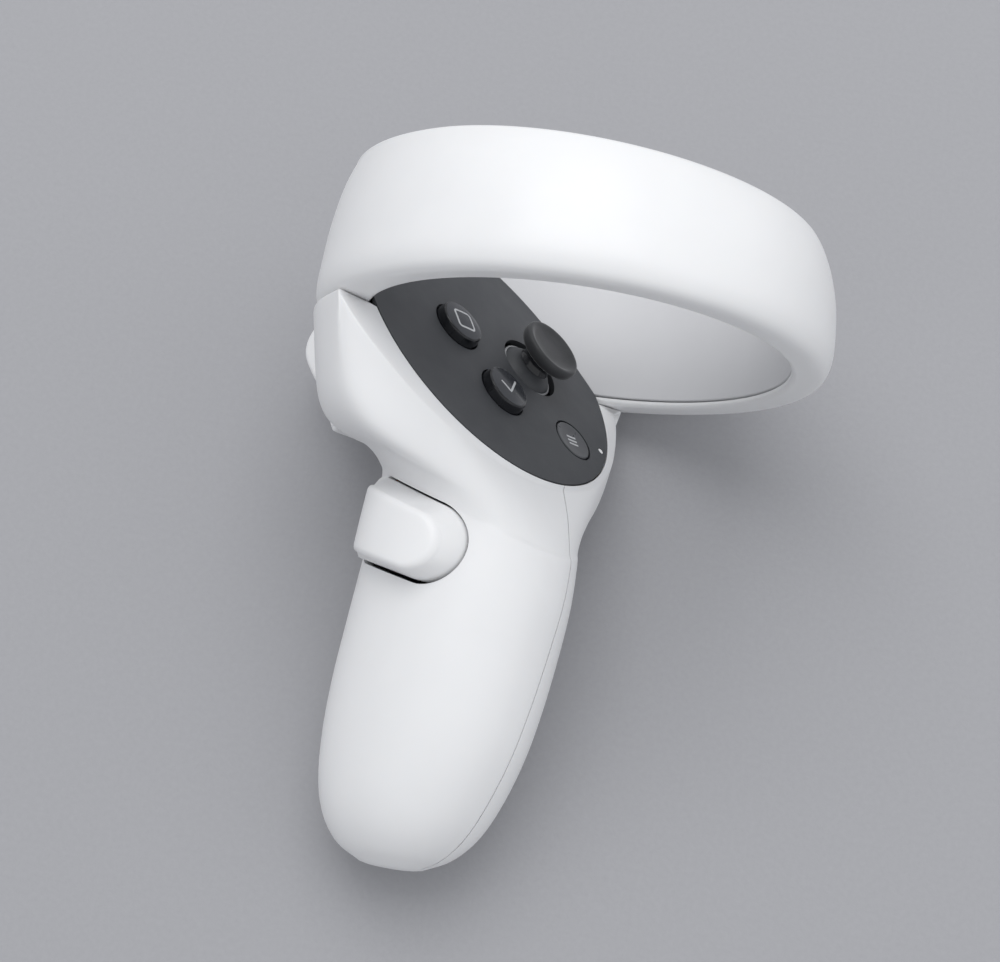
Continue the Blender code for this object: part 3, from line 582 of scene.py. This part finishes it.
def section_at(beta, points):
    """Turns ("in" or "out", distance from that wall, height) into (radius, height) at this angle."""
    reach = (ring_outline(beta) - Vector((0.0, RING_CENTRE_Y))).length
    rise = RING_FRONT_RISE * (1 + math.sin(beta)) / 2
    crown = 1 - RING_FRONT_CROWN * (1 + math.sin(beta)) / 2
    made = []
    for side, distance, height in points:
        if height > RING_WAIST and side == "out":
            distance *= crown
        radius = BORE_RADIUS + distance if side == "in" else reach - distance
        made.append(Vector((radius, height + rise * smooth_step((height - 5.0) / 15.0))))
    return made


def ring_place(beta, radius, height):
    """A place this far from the ring's axis, towards the outline's point at this angle."""
    outer = ring_outline(beta) - Vector((0.0, RING_CENTRE_Y))
    direction = outer.normalized()
    return Vector((direction.x * radius, RING_CENTRE_Y + direction.y * radius, height))


def ring_shell():
    """C-shaped band with a rounded lower rim, a crowned outer wall, and a plain channel inside."""
    skin = (
        ("in", 0.12, LIP_HEIGHT - 0.1),
        ("in", 0.25, -1.15),
        ("in", 0.9, RING_BOTTOM + 0.06),
        ("in", 1.9, RING_BOTTOM),
        ("out", 2.9, RING_BOTTOM),
        ("out", 1.5, RING_BOTTOM + 0.5),
        ("out", 0.6, 0.2),
        ("out", 0.1, 2.6),
        ("out", 0.18, 6.5),
        ("out", 0.8, 11.5),
        ("out", 2.1, 16.3),
        ("out", 3.7, 20.1),
        ("out", 5.0, RING_TOP - 1.3),
        ("out", 5.9, RING_TOP - 0.3),
        ("in", 0.7, RING_TOP),
        ("in", 0.15, RING_TOP - 0.5),
        ("in", 0.12, LINER_TOP + 0.1),
    )
    channel = (
        ("in", 1.9, LINER_TOP),
        ("out", 5.6, 19.4),
        ("out", 4.0, 16.0),
        ("out", 2.7, 12.0),
        ("out", 1.9, 6.0),
        ("out", 2.1, 2.6),
        ("in", 1.9, LIP_HEIGHT),
    )
    rings = []
    for beta in angles(RING_STATIONS):
        points = smooth_open(section_at(beta, skin)) + section_at(beta, channel)
        rings.append([ring_place(beta, point.x, point.y) for point in points])
    band = make_object("ring_band", loft(rings, closed=True), WORLD)
    finish_piece(band, WHITE, "root", ["ring_outer_shell"], sharp=50.0)


def ring_liner():
    """The window that faces the hand, with small rounded edges where it meets the shell."""
    edge = 0.25
    cut = 0.07
    low, high = LIP_HEIGHT + GAP, LINER_TOP - GAP
    section = (
        ("in", edge, low),
        ("in", cut, low + cut),
        ("in", 0.0, low + edge),
        ("in", 0.0, (low + high) / 2),
        ("in", 0.0, high - edge),
        ("in", cut, high - cut),
        ("in", edge, high),
        ("in", LINER_THICK, high),
        ("in", LINER_THICK, low),
    )
    rings = []
    for beta in angles(RING_STATIONS):
        rings.append([ring_place(beta, point.x, point.y) for point in section_at(beta, section)])
    liner = make_object("ring_liner", loft(rings, closed=True), WORLD)
    finish_piece(liner, LINER_WHITE, "root", ["ring_inner_liner"], sharp=60.0)


# ---------------------------------------------------------------- body shells


def ridge_point(phi, inset):
    """The ridge round the plate at the rear and sides, and the ring's outline below the ring at the front.

    The two runs meet at a corner on each side, and the right one is tucked in further under the ring.
    """
    corner = RIDGE_CORNER * smooth_step(1 - abs(math.sin(phi)) / 0.4)
    inset += RIDGE_TUCK * max(math.cos(phi), 0.0) ** 2
    if math.sin(phi) >= 0:
        start = math.asin(-RING_CENTRE_Y / RING_FRONT) - 0.01
        beta = start + (math.pi - 2 * start) * phi / math.pi
        place = ring_outline(beta, inset + GAP + corner)
        return Vector((place.x, place.y, HEAD_TOP))
    turn = math.pi + RIDGE_LIMIT + (phi / math.pi - 1) * (math.pi - 2 * RIDGE_LIMIT)
    radius = RIDGE_REAR + RIDGE_GROWTH * (1 + math.sin(turn)) - inset + corner
    return on_plate(radius * math.cos(turn), radius * math.sin(turn), -RIDGE_DROP)


def oval_point(phi, half_width, half_depth, centre_y):
    """A point of the handle's section, a little squarer than an ellipse."""
    cos, sin = math.cos(phi), math.sin(phi)
    reach = (abs(cos) ** ROUNDNESS + abs(sin) ** ROUNDNESS) ** (-1 / ROUNDNESS)
    return half_width * reach * cos, centre_y + half_depth * reach * sin


def neck_point(phi, inset):
    """A point where the head narrows into the handle; this section rises towards the front."""
    x, y = oval_point(phi, NECK[0] - inset, NECK[1] - inset, NECK[2])
    return Vector((x, y, NECK_HEIGHT + NECK_SLOPE * math.sin(phi)))


def ease_ring(ring, passes):
    """Rounds a ring's corners off by averaging neighbours this many times."""
    for _ in range(passes):
        ahead = ring[1:] + ring[:1]
        behind = ring[-1:] + ring[:-1]
        ring = [(a + 2 * b + c) / 4 for a, b, c in zip(behind, ring, ahead)]
    return ring


def head_ring(step, inset):
    """One ring between ridge and neck; the lower it lies, the rounder the ridge's corners are in it."""
    ring = []
    for phi in angles(BODY_SIDES):
        ridge, neck = ridge_point(phi, inset), neck_point(phi, inset)
        front = smooth_step((math.sin(phi) + 0.85) / 0.7)
        inward = front * FRONT_PROFILE[step][0] + (1 - front) * REAR_PROFILE[step][0]
        down = front * FRONT_PROFILE[step][1] + (1 - front) * REAR_PROFILE[step][1]
        place = ridge.lerp(neck, inward)
        place.z = ridge.z + (neck.z - ridge.z) * down
        if 0.5 < down < 0.95:
            place.z += inset * front
        ring.append(place)
    return ease_ring(ring, HEAD_EASING[step])


def handle_ring(index, inset):
    """One section of the handle; the first rises a little towards the front, as the neck does."""
    height, half_width, half_depth, centre_y = HANDLE_SECTIONS[index]
    slope = HANDLE_SLOPE if index == 0 else 0.0
    ring = []
    for phi in angles(BODY_SIDES):
        x, y = oval_point(phi, half_width - inset, half_depth - inset, centre_y)
        ring.append(Vector((x, y, height + slope * math.sin(phi))))
    return ring


def butt_rings():
    """Closes the handle's end with a round cap below the last section."""
    height, half_width, half_depth, centre_y = HANDLE_SECTIONS[-1]
    rings = []
    for share, drop in BUTT_CAP:
        ring = []
        for phi in angles(BODY_SIDES):
            x, y = oval_point(phi, half_width * share, half_depth * share, centre_y)
            ring.append(Vector((x, y, height - drop)))
        rings.append(ring)
    return rings


def outside_rings():
    """From the ridge down the head and the handle."""
    rings = [[ridge_point(phi, 0.0) for phi in angles(BODY_SIDES)]]
    rings += [head_ring(step, 0.0) for step in range(len(FRONT_PROFILE))]
    rings.append([neck_point(phi, 0.0) for phi in angles(BODY_SIDES)])
    rings += [handle_ring(index, 0.0) for index in range(len(HANDLE_SECTIONS))]
    return rings


def inside_rings():
    """The cavity, from the handle's inside up to the lip."""
    rings = [handle_ring(index, WALL) for index in reversed(range(len(HANDLE_SECTIONS) - 2))]
    rings.append([neck_point(phi, WALL) for phi in angles(BODY_SIDES)])
    rings += [head_ring(step, WALL) for step in reversed(range(len(FRONT_PROFILE)))]
    rings.append(flange_ring())
    return rings


def flange_ring():
    """The top of the cavity, below the lip that the plate rests on."""
    ring = []
    depth = PLATE_THICK + WALL + GAP
    for phi in angles(BODY_SIDES):
        place = ridge_point(phi, WALL)
        if math.sin(phi) >= 0:
            place.z -= depth
        else:
            place -= (depth - RIDGE_DROP) * on_plate(0.0, 0.0, 1.0)
        ring.append(place)
    return ring


def seat_ring(radius, bore, drop):
    """Round the plate at the rear, and along the ring's bore at the front, this far below the face."""
    ring = []
    for phi in angles(BODY_SIDES):
        if math.sin(phi) >= 0:
            start = math.asin(-RING_CENTRE_Y / bore) - 0.02
            beta = start + (math.pi - 2 * start) * phi / math.pi
            place = Vector((bore * math.cos(beta), RING_CENTRE_Y + bore * math.sin(beta), HEAD_TOP - drop))
        else:
            turn = math.pi + SEAT_LIMIT + (phi / math.pi - 1) * (math.pi - 2 * SEAT_LIMIT)
            place = on_plate(radius * math.cos(turn), radius * math.sin(turn), -drop)
        ring.append(place)
    return ring


def rounded_ridge(rim, ridge, below):
    """Rings that turn the corner at the ridge on a small radius, from the chamfer down the side."""
    made = []
    for i in range(len(ridge)):
        to_rim = rim[i] - ridge[i]
        to_below = below[i] - ridge[i]
        start = ridge[i] + to_rim * min(RIDGE_ROUNDING / max(to_rim.length, 0.01), 0.45)
        end = ridge[i] + to_below.normalized() * RIDGE_ROUNDING
        corner = []
        for share in (0.0, 0.25, 0.5, 0.75, 1.0):
            corner.append(start.lerp(ridge[i], share).lerp(ridge[i].lerp(end, share), share))
        made.append(corner)
    return [list(ring) for ring in zip(*made)]


def body():
    """The whole body wall as one closed mesh: cavity, plate seat, chamfer, ridge, head, handle and butt."""
    rings = inside_rings()
    rings.append(seat_ring(LIP_RADIUS, BORE_RADIUS - LIP_WIDTH, PLATE_THICK + WALL + GAP))
    rings.append(seat_ring(LIP_RADIUS, BORE_RADIUS - LIP_WIDTH, PLATE_THICK + GAP))
    rings.append(seat_ring(PLATE_RADIUS + GAP, BORE_RADIUS, PLATE_THICK + GAP))
    rings.append(seat_ring(PLATE_RADIUS + GAP, BORE_RADIUS, RIM_EDGE))
    rim = seat_ring(PLATE_RADIUS + GAP + RIM_EDGE, BORE_RADIUS, 0.0)
    outside = smooth_rows(outside_rings())
    rings.append(rim)
    rings += rounded_ridge(rim, outside[0], outside[1])
    rings += outside[1:]
    rings += butt_rings()
    return loft(rings)


def body_piece(name, low, high):
    """The part of the body inside this box, which stands square to the parting plane."""
    piece = make_object(name, body(), WORLD)
    boolean(piece, box(low, high), WORLD @ PARTING, "INTERSECT", "MANIFOLD")
    return piece


def body_pieces():
    """Both halves of the body and the battery cover, with the openings for the trigger and grip button."""
    half = GAP / 2
    cover_edge = COVER_TOP - SPLIT_HEIGHT
    window = TRIGGER_HALF_WIDTH + TRIGGER_CLEARANCE
    left = body_piece("left_body", (-FAR, -FAR, -FAR), (-half, FAR, FAR))
    right = body_piece("right_body", (half, -FAR, -FAR), (FAR, FAR, FAR))
    recess = box((COVER_INSET - half, -FAR, -FAR), (FAR, FAR, cover_edge + half))
    boolean(right, recess, WORLD @ PARTING, solver="MANIFOLD")
    cover = body_piece("battery_door", (COVER_INSET + half, -FAR, -FAR), (FAR, FAR, cover_edge - half))
    for piece in (left, right):
        for start, low, high in TRIGGER_WINDOW:
            opening = box((-window, start, low), (window, 45.0, high))
            boolean(piece, opening, WORLD, solver="MANIFOLD")
    boolean(left, grip_window(), WORLD @ GRIP, solver="MANIFOLD")
    finish_piece(left, WHITE, "root", ["left_shell"], sharp=38.0)
    finish_piece(right, WHITE, "root", ["right_shell"], sharp=38.0)
    finish_piece(cover, WHITE, "battery_cover", ["battery_cover"], sharp=38.0)


# ---------------------------------------------------------------- grip button


def grip_outline(grow, front_grow=0.0, shift=0.0):
    """The paddle's outline in its own plane: half round at the rear, straight with round corners in front."""
    radius = GRIP_RADIUS + grow
    made = []
    for i in range(49):
        turn = math.pi / 2 + math.pi * i / 48
        made.append(Vector((GRIP_REAR + radius * math.cos(turn), radius * math.sin(turn) + shift)))
    corner = max(GRIP_CORNER + grow, 0.3)
    for side, (reach, half_width) in zip((-1, 1), GRIP_FRONT):
        for i in range(13):
            turn = math.pi / 2 * i / 12 - (math.pi / 2 if side < 0 else 0.0)
            centre = Vector((reach + front_grow - corner, side * (half_width + grow - corner) + shift))
            made.append(centre + corner * Vector((math.cos(turn), math.sin(turn))))
    return fill_outline(made)


def fill_outline(points):
    """Splits the long straight runs, so that rings of the outline stay even."""
    made = []
    for start, end in zip(points, points[1:] + points[:1]):
        parts = 12 if (end - start).length > 4.0 else 1
        made += [start.lerp(end, k / parts) for k in range(parts)]
    return made


def grip_window():
    """A cutter a little larger than the paddle, through the handle's wall."""
    outline = grip_outline(GRIP_CLEARANCE, GRIP_FRONT_CLEARANCE, GRIP_WINDOW_SHIFT)
    return loft([[Vector((p.x, p.y, height)) for p in outline] for height in GRIP_WINDOW_REACH])


def raised_handle():
    """The handle's surface raised by the paddle's height, to be looked up from outside."""
    rings = []
    for height, half_width, half_depth, centre_y in (GRIP_TOP_SECTION,) + HANDLE_SECTIONS[:2]:
        ring = []
        for phi in angles(BODY_SIDES):
            x, y = oval_point(phi, half_width + GRIP_PROUD, half_depth - GRIP_FLATTEN, centre_y)
            ring.append(Vector((x, y, height)))
        rings.append(ring)
    bm = loft(smooth_rows(rings))
    tree = BVHTree.FromBMesh(bm)
    bm.free()
    return tree


def wall_foot(face):
    """Where the drafted wall starts: at the handle's skin, or lower where the face dips at its ends."""
    return min(GRIP_SKIN, face - 1.5 * GRIP_ROUNDING)


def grip_paddle():
    """A floor inside the handle, drafted walls, a rounded border, and a face that follows the handle."""
    surface = raised_handle()
    inverse = GRIP.inverted()
    outward = GRIP.to_3x3() @ Vector((0.0, 0.0, 1.0))

    def face_height(x, y):
        start = GRIP @ Vector((x, y, 60.0))
        hit = surface.ray_cast(start, -outward)[0]
        return (inverse @ hit).z if hit else GRIP_SKIN

    base = grip_outline(0.0)
    rings = [[Vector((p.x, p.y, GRIP_FLOOR)) for p in base]]
    rings.append([Vector((p.x, p.y, wall_foot(face_height(p.x, p.y)))) for p in base])
    for share in (0.0, 0.15, 0.32, 0.5, 0.68, 0.85, 1.0):
        turn = share * math.pi / 2
        inset = GRIP_DRAFT + GRIP_ROUNDING * (1 - math.cos(turn))
        drop = GRIP_ROUNDING * (1 - math.sin(turn))
        ring = []
        for p in grip_outline(-inset, 0.4 * (GRIP_DRAFT - inset), GRIP_SHIFT):
            top = face_height(p.x, p.y)
            ring.append(Vector((p.x, p.y, max(top - drop, wall_foot(top)))))
        rings.append(ring)
    edge = grip_outline(-GRIP_DRAFT - GRIP_ROUNDING, -0.4 * GRIP_ROUNDING, GRIP_SHIFT)
    middle = Vector(GRIP_MIDDLE)
    for share in (0.12, 0.25, 0.4, 0.55, 0.7, 0.85, 0.96):
        places = [p.lerp(middle, share) for p in edge]
        rings.append([Vector((p.x, p.y, face_height(p.x, p.y))) for p in places])
    paddle = make_object("grip_paddle", loft(rings), WORLD @ GRIP)
    finish_piece(paddle, WHITE, "grip_button", ["grip_button"], sharp=50.0)


# ---------------------------------------------------------------- trigger


def trigger_outline(inset):
    """The lever's side outline (y, z), drawn in evenly by the inset."""
    points = smooth_closed([Vector(point) for point in TRIGGER_PROFILE], 6)
    count = len(points)
    made = []
    for i in range(count):
        tangent = points[(i + 1) % count] - points[i - 1]
        inward = Vector((tangent.y, -tangent.x)).normalized()
        made.append(points[i] + inward * inset)
    return made


def trigger_lever():
    """A curved lever with well rounded sides; its root is narrower, and slotted for the spring."""
    half = TRIGGER_HALF_WIDTH
    levels = []
    for step in range(7):
        turn = math.pi / 2 * step / 6
        x = half - TRIGGER_ROUNDING * (1 - math.cos(turn))
        levels.append((x, TRIGGER_ROUNDING * (1 - math.sin(turn))))
    rings = []
    for x, inset in [(-x, inset) for x, inset in levels] + levels[::-1]:
        outline = trigger_outline(inset)
        rings.append([Vector((x, p.x - TRIGGER_PIVOT[1], p.y - TRIGGER_PIVOT[2])) for p in outline])
    lever = make_object("trigger_lever", loft(rings), TRIGGER_FRAME)
    for side in (-1, 1):
        low, high = sorted((side * TRIGGER_ROOT_HALF_WIDTH, side * 20.0))
        boolean(lever, box((low, -8.0, -8.0), (high, 3.0, 8.0)), TRIGGER_FRAME, solver="MANIFOLD")
    slot = box((-SPRING_SLOT_HALF, -4.0, -4.0), (SPRING_SLOT_HALF, 2.6, 4.0))
    boolean(lever, slot, TRIGGER_FRAME, solver="MANIFOLD")
    across = TRIGGER_FRAME @ Matrix.Rotation(math.pi / 2, 4, "Y")
    boolean(lever, disc(TRIGGER_BORE, -30.0, 30.0, segments=48), across, solver="MANIFOLD")
    finish_piece(lever, WHITE, "trigger", ["trigger"], sharp=45.0)


# ---------------------------------------------------------------- plate and its controls


def face_plate():
    """The dark plate, trimmed to the ring's bore, with every hole and rim lightly rounded."""
    plate = make_object("control_plate", disc(PLATE_RADIUS, -PLATE_THICK, 0.0, segments=256), PLATE)
    bore = disc(BORE_RADIUS - GAP, -60.0, 60.0, (0.0, RING_CENTRE_Y), segments=256)
    boolean(plate, bore, WORLD, "INTERSECT")
    button_hole = BUTTON_RADIUS + BUTTON_CLEARANCE
    holes = (
        (button_hole, UPPER_BUTTON),
        (button_hole, LOWER_BUTTON),
        (HOME_RADIUS + BUTTON_CLEARANCE, HOME_BUTTON),
        (STICK_HOLE, STICK),
        (LED_HOLE, STATUS_LED),
    )
    for radius, at in holes:
        boolean(plate, disc(radius, -4.0, 4.0, at), PLATE)
    soften_edges(plate, 0.12, angle=50.0, segments=2)
    finish_piece(plate, PLATE_GREY, "root", ["face_plate"], sharp=0.0)


def arc(centre, radius, first, last, steps):
    """Points of (radius, height) along an arc, in degrees."""
    made = []
    for i in range(steps + 1):
        turn = math.radians(first + (last - first) * i / steps)
        made.append((centre[0] + radius * math.cos(turn), centre[1] + radius * math.sin(turn)))
    return made


def cap_height(share, top, dome):
    """Height of a button's domed or dished top at this share of its radius."""
    return top + dome * (1 - share * share)


def cap_mesh(radius, top, dome, flange, taper=0.0):
    """A turned cap: its own top, a small edge radius, its tapered wall, and the flange under the plate."""
    shoulder = radius - taper - CAP_EDGE
    profile = [(0.02 * radius, cap_height(0.0, top, dome))]
    for i in range(1, 13):
        share = i / 12 * shoulder / radius
        profile.append((radius * share, cap_height(share, top, dome)))
    level = profile[-1][1] - CAP_EDGE
    profile += arc((shoulder, level), CAP_EDGE, 80.0, 0.0, 6)
    profile += [(radius, 0.0), (radius, -2.0), (flange, -2.0), (flange, -2.9), (0.02 * radius, -2.9)]
    return turned(profile)


def ribbon(points, width, closed, height):
    """A flat printed line of this width along points (x, y), on the surface that height(x, y) gives."""
    count = len(points)
    rings = []
    for i in range(count):
        before = points[i - 1] if closed or i else points[i]
        after = points[(i + 1) % count] if closed or i < count - 1 else points[i]
        direction = (after - before).normalized()
        across = Vector((-direction.y, direction.x)) * width / 2
        left, right = points[i] - across, points[i] + across
        corners = (
            (left, -MARK_THICK),
            (right, -MARK_THICK),
            (right, MARK_THICK),
            (left, MARK_THICK),
        )
        rings.append([Vector((p.x, p.y, height(p.x, p.y) + lift)) for p, lift in corners])
    return loft(rings, closed)


def along(points, steps):
    """Splits each straight run into steps."""
    made = []
    for start, end in zip(points, points[1:]):
        made += [start.lerp(end, k / steps) for k in range(steps)]
    return made + [points[-1]]


def rounded_square(half, corner):
    """A square line of this half width, with its corners rounded."""
    made = []
    for quarter, (cx, cy) in enumerate(((1, 1), (-1, 1), (-1, -1), (1, -1))):
        for i in range(7):
            angle = math.pi / 2 * (quarter + i / 6)
            x = cx * (half - corner) + corner * math.cos(angle)
            y = cy * (half - corner) + corner * math.sin(angle)
            made.append(Vector((x, y)))
    return along(made + made[:1], 2)[:-1]


def push_buttons():
    """Two domed caps: black glossy sides, a grey skin on the top that is painted reflection, and a generic
    mark on each.
    """
    tick = along([Vector(point) for point in ((-2.2, 0.6), (-0.5, -1.6), (2.4, 1.9))], 8)
    marks = {
        "upper": (UPPER_BUTTON, rounded_square(2.1, 0.7), True),
        "lower": (LOWER_BUTTON, tick, False),
    }
    for name, (at, mark, closed) in marks.items():
        place = PLATE @ Matrix.Translation((at[0], at[1], 0.0))
        body_name = name + "_button"

        def height(x, y):
            return cap_height(math.hypot(x, y) / BUTTON_RADIUS, BUTTON_TOP, BUTTON_DOME)

        shape = cap_mesh(BUTTON_RADIUS, BUTTON_TOP, BUTTON_DOME, BUTTON_FLANGE, BUTTON_TAPER)
        cap = make_object(name + "_cap", shape, place)
        finish_piece(cap, GLOSS_BLACK, body_name, [body_name])
        # the grey skin over the top is painted reflection on the black cap
        face = make_object(name + "_cap_face", painted_reflection_skin(height), place)
        finish_piece(face, PAINTED_TOP_REFLECTION, body_name)
        glyph = make_object(name + "_mark", ribbon(mark, MARK_WIDTH, closed, height), place)
        finish_piece(glyph, MARK_GREY, body_name, sharp=60.0)


def painted_reflection_skin(height):
    """A thin skin over the cap's dome, with a soft rim, painted grey as the brighter reflection on the black
    cap's top.
    """
    radius = BUTTON_RADIUS - BUTTON_TAPER - CAP_EDGE
    profile = []
    for i in range(13):
        r = max(radius * i / 12, 0.02)
        profile.append((r, height(r, 0.0) + 0.03))
    profile.append((radius + 0.04, height(radius, 0.0) - 0.02))
    for i in range(11, -1, -1):
        r = radius * i / 12 + 0.02
        profile.append((r, height(r, 0.0) - 0.02))
    return turned(profile)


def home_button():
    """A flush dished cap with three short bars."""
    place = PLATE @ Matrix.Translation((HOME_BUTTON[0], HOME_BUTTON[1], 0.0))

    def height(x, y):
        return cap_height(math.hypot(x, y) / HOME_RADIUS, HOME_TOP, HOME_DISH)

    cap = make_object("home_cap", cap_mesh(HOME_RADIUS, HOME_TOP, HOME_DISH, HOME_FLANGE), place)
    finish_piece(cap, HOME_GREY, "home_button", ["home_button"])
    for index, offset in enumerate((-0.9, 0.0, 0.9)):
        bar = along([Vector((-1.3, offset)), Vector((1.3, offset))], 6)
        mark = make_object(f"home_mark_{index + 1}", ribbon(bar, HOME_MARK_WIDTH, False, height), place)
        finish_piece(mark, MARK_GREY, "home_button", sharp=60.0)


def thumbstick():
    """Soft-touch cap with a dished top on a glossy stem, over a dome that fills the hole."""
    up = -STICK_PIVOT
    crown = ((0.02, 7.1), (1.6, 7.12), (3.2, 7.22), (4.6, 7.5), (5.4, 7.88))
    side = (
        (5.75, 8.06), (6.1, 8.12), (6.42, 7.98), (6.64, 7.6), (6.7, 7.0), (6.6, 6.3), (6.2, 5.7),
        (5.4, 5.25), (4.4, 4.98), (3.2, 4.8),
    )
    curve = smooth_open([Vector((radius, up + height - STICK_LOW)) for radius, height in crown + side], 4)
    profile = [(point.x, point.y) for point in curve] + [(0.02, up + 4.8 - STICK_LOW)]
    cap = make_object("stick_cap", turned(profile), STICK_FRAME)
    finish_piece(cap, RUBBER, "thumbstick", ["thumbstick_cap"])
    waist = ((3.9, 3.75), (3.35, 3.3), (3.2, 2.7), (3.3, 2.1), (3.6, 1.3))
    stem_curve = smooth_open([Vector((radius, up + height)) for radius, height in waist], 5)
    stem_profile = [(0.02, up + 3.75)] + [(point.x, point.y) for point in stem_curve] + [(0.02, up + 1.3)]
    stem = make_object("stick_stem", turned(stem_profile), STICK_FRAME)
    finish_piece(stem, GLOSS_BLACK, "thumbstick")
    stick_dome()


def stick_dome():
    """Part of a sphere about the pivot, so that it stays in the hole at every tilt; a rim painted pale grey
    as a highlight edges it.
    """
    inner = DOME_RADIUS - DOME_THICK
    first, last = math.asin(DOME_BORE / DOME_RADIUS), math.asin(DOME_EDGE / DOME_RADIUS)
    outer = [first + (last - first) * i / 24 for i in range(25)]
    profile = [(DOME_RADIUS * math.sin(turn), DOME_RADIUS * math.cos(turn)) for turn in outer]
    profile += [(inner * math.sin(turn), inner * math.cos(turn)) for turn in reversed(outer)]
    dome = make_object("stick_bowl", turned(profile, closed=True), STICK_FRAME)
    finish_piece(dome, PLATE_GREY, "stick_yoke", ["stick_dome"])
    edge = (DOME_RADIUS * math.sin(last), DOME_RADIUS * math.cos(last))
    # the rim's pale grey is a painted highlight on the dome's edge
    highlight_rim_profile = arc((edge[0], edge[1] - 0.1), 0.28, 0.0, 345.0, 23)
    rim = make_object("stick_bowl_rim", turned(highlight_rim_profile, closed=True), STICK_FRAME)
    finish_piece(rim, PAINTED_RIM_HIGHLIGHT, "stick_yoke")


# ---------------------------------------------------------------- floor, light and camera


def floor():
    """A square of paper under the controller."""
    bm = bmesh.new()
    bmesh.ops.create_grid(bm, x_segments=8, y_segments=8, size=FLOOR_HALF)
    ground = make_object("floor", bm, Matrix.Identity(4))
    ground.data.materials.append(floor_material())


def area_light(name, at, size, energy):
    """A square light that faces the middle of the controller."""
    lamp = bpy.data.lights.new(name, "AREA")
    lamp.size = size
    lamp.energy = energy
    made = bpy.data.objects.new(name, lamp)
    bpy.context.scene.collection.objects.link(made)
    made.location = at
    aim = Vector(LIGHT_AIM) - Vector(at)
    made.rotation_euler = aim.to_track_quat("-Z", "Y").to_euler()


def lights():
    """An even room, a key light above and behind, and a weak fill from the right."""
    scene = bpy.context.scene
    world = bpy.data.worlds.new("soft_room")
    scene.world = world
    world.use_nodes = True
    backdrop = world.node_tree.nodes["Background"]
    backdrop.inputs["Color"].default_value = (*ROOM_COLOUR, 1.0)
    backdrop.inputs["Strength"].default_value = ROOM_STRENGTH
    for name, at, size, energy in LIGHTS:
        area_light(name, at, size, energy)
    scene.view_settings.view_transform = "Standard"


def camera():
    """Looks down at the controller as it lies, along its own axes."""
    forward = Vector(VIEW_FORWARD).normalized()
    right = forward.cross(Vector(VIEW_UP)).normalized()
    up = right.cross(forward)
    turn = WORLD.to_3x3().normalized() @ Matrix((right, up, -forward)).transposed()
    lens = bpy.data.cameras.new("view")
    lens.sensor_width = SENSOR_WIDTH
    lens.lens = FOCAL_LENGTH
    lens.clip_start = 0.01
    made = bpy.data.objects.new("view", lens)
    bpy.context.scene.collection.objects.link(made)
    made.matrix_world = Matrix.Translation(WORLD @ Vector(EYE)) @ turn.to_4x4()
    bpy.context.scene.camera = made


camera()
ring_shell()
ring_liner()
body_pieces()
grip_paddle()
trigger_lever()
face_plate()
push_buttons()
home_button()
thumbstick()
floor()
lights()
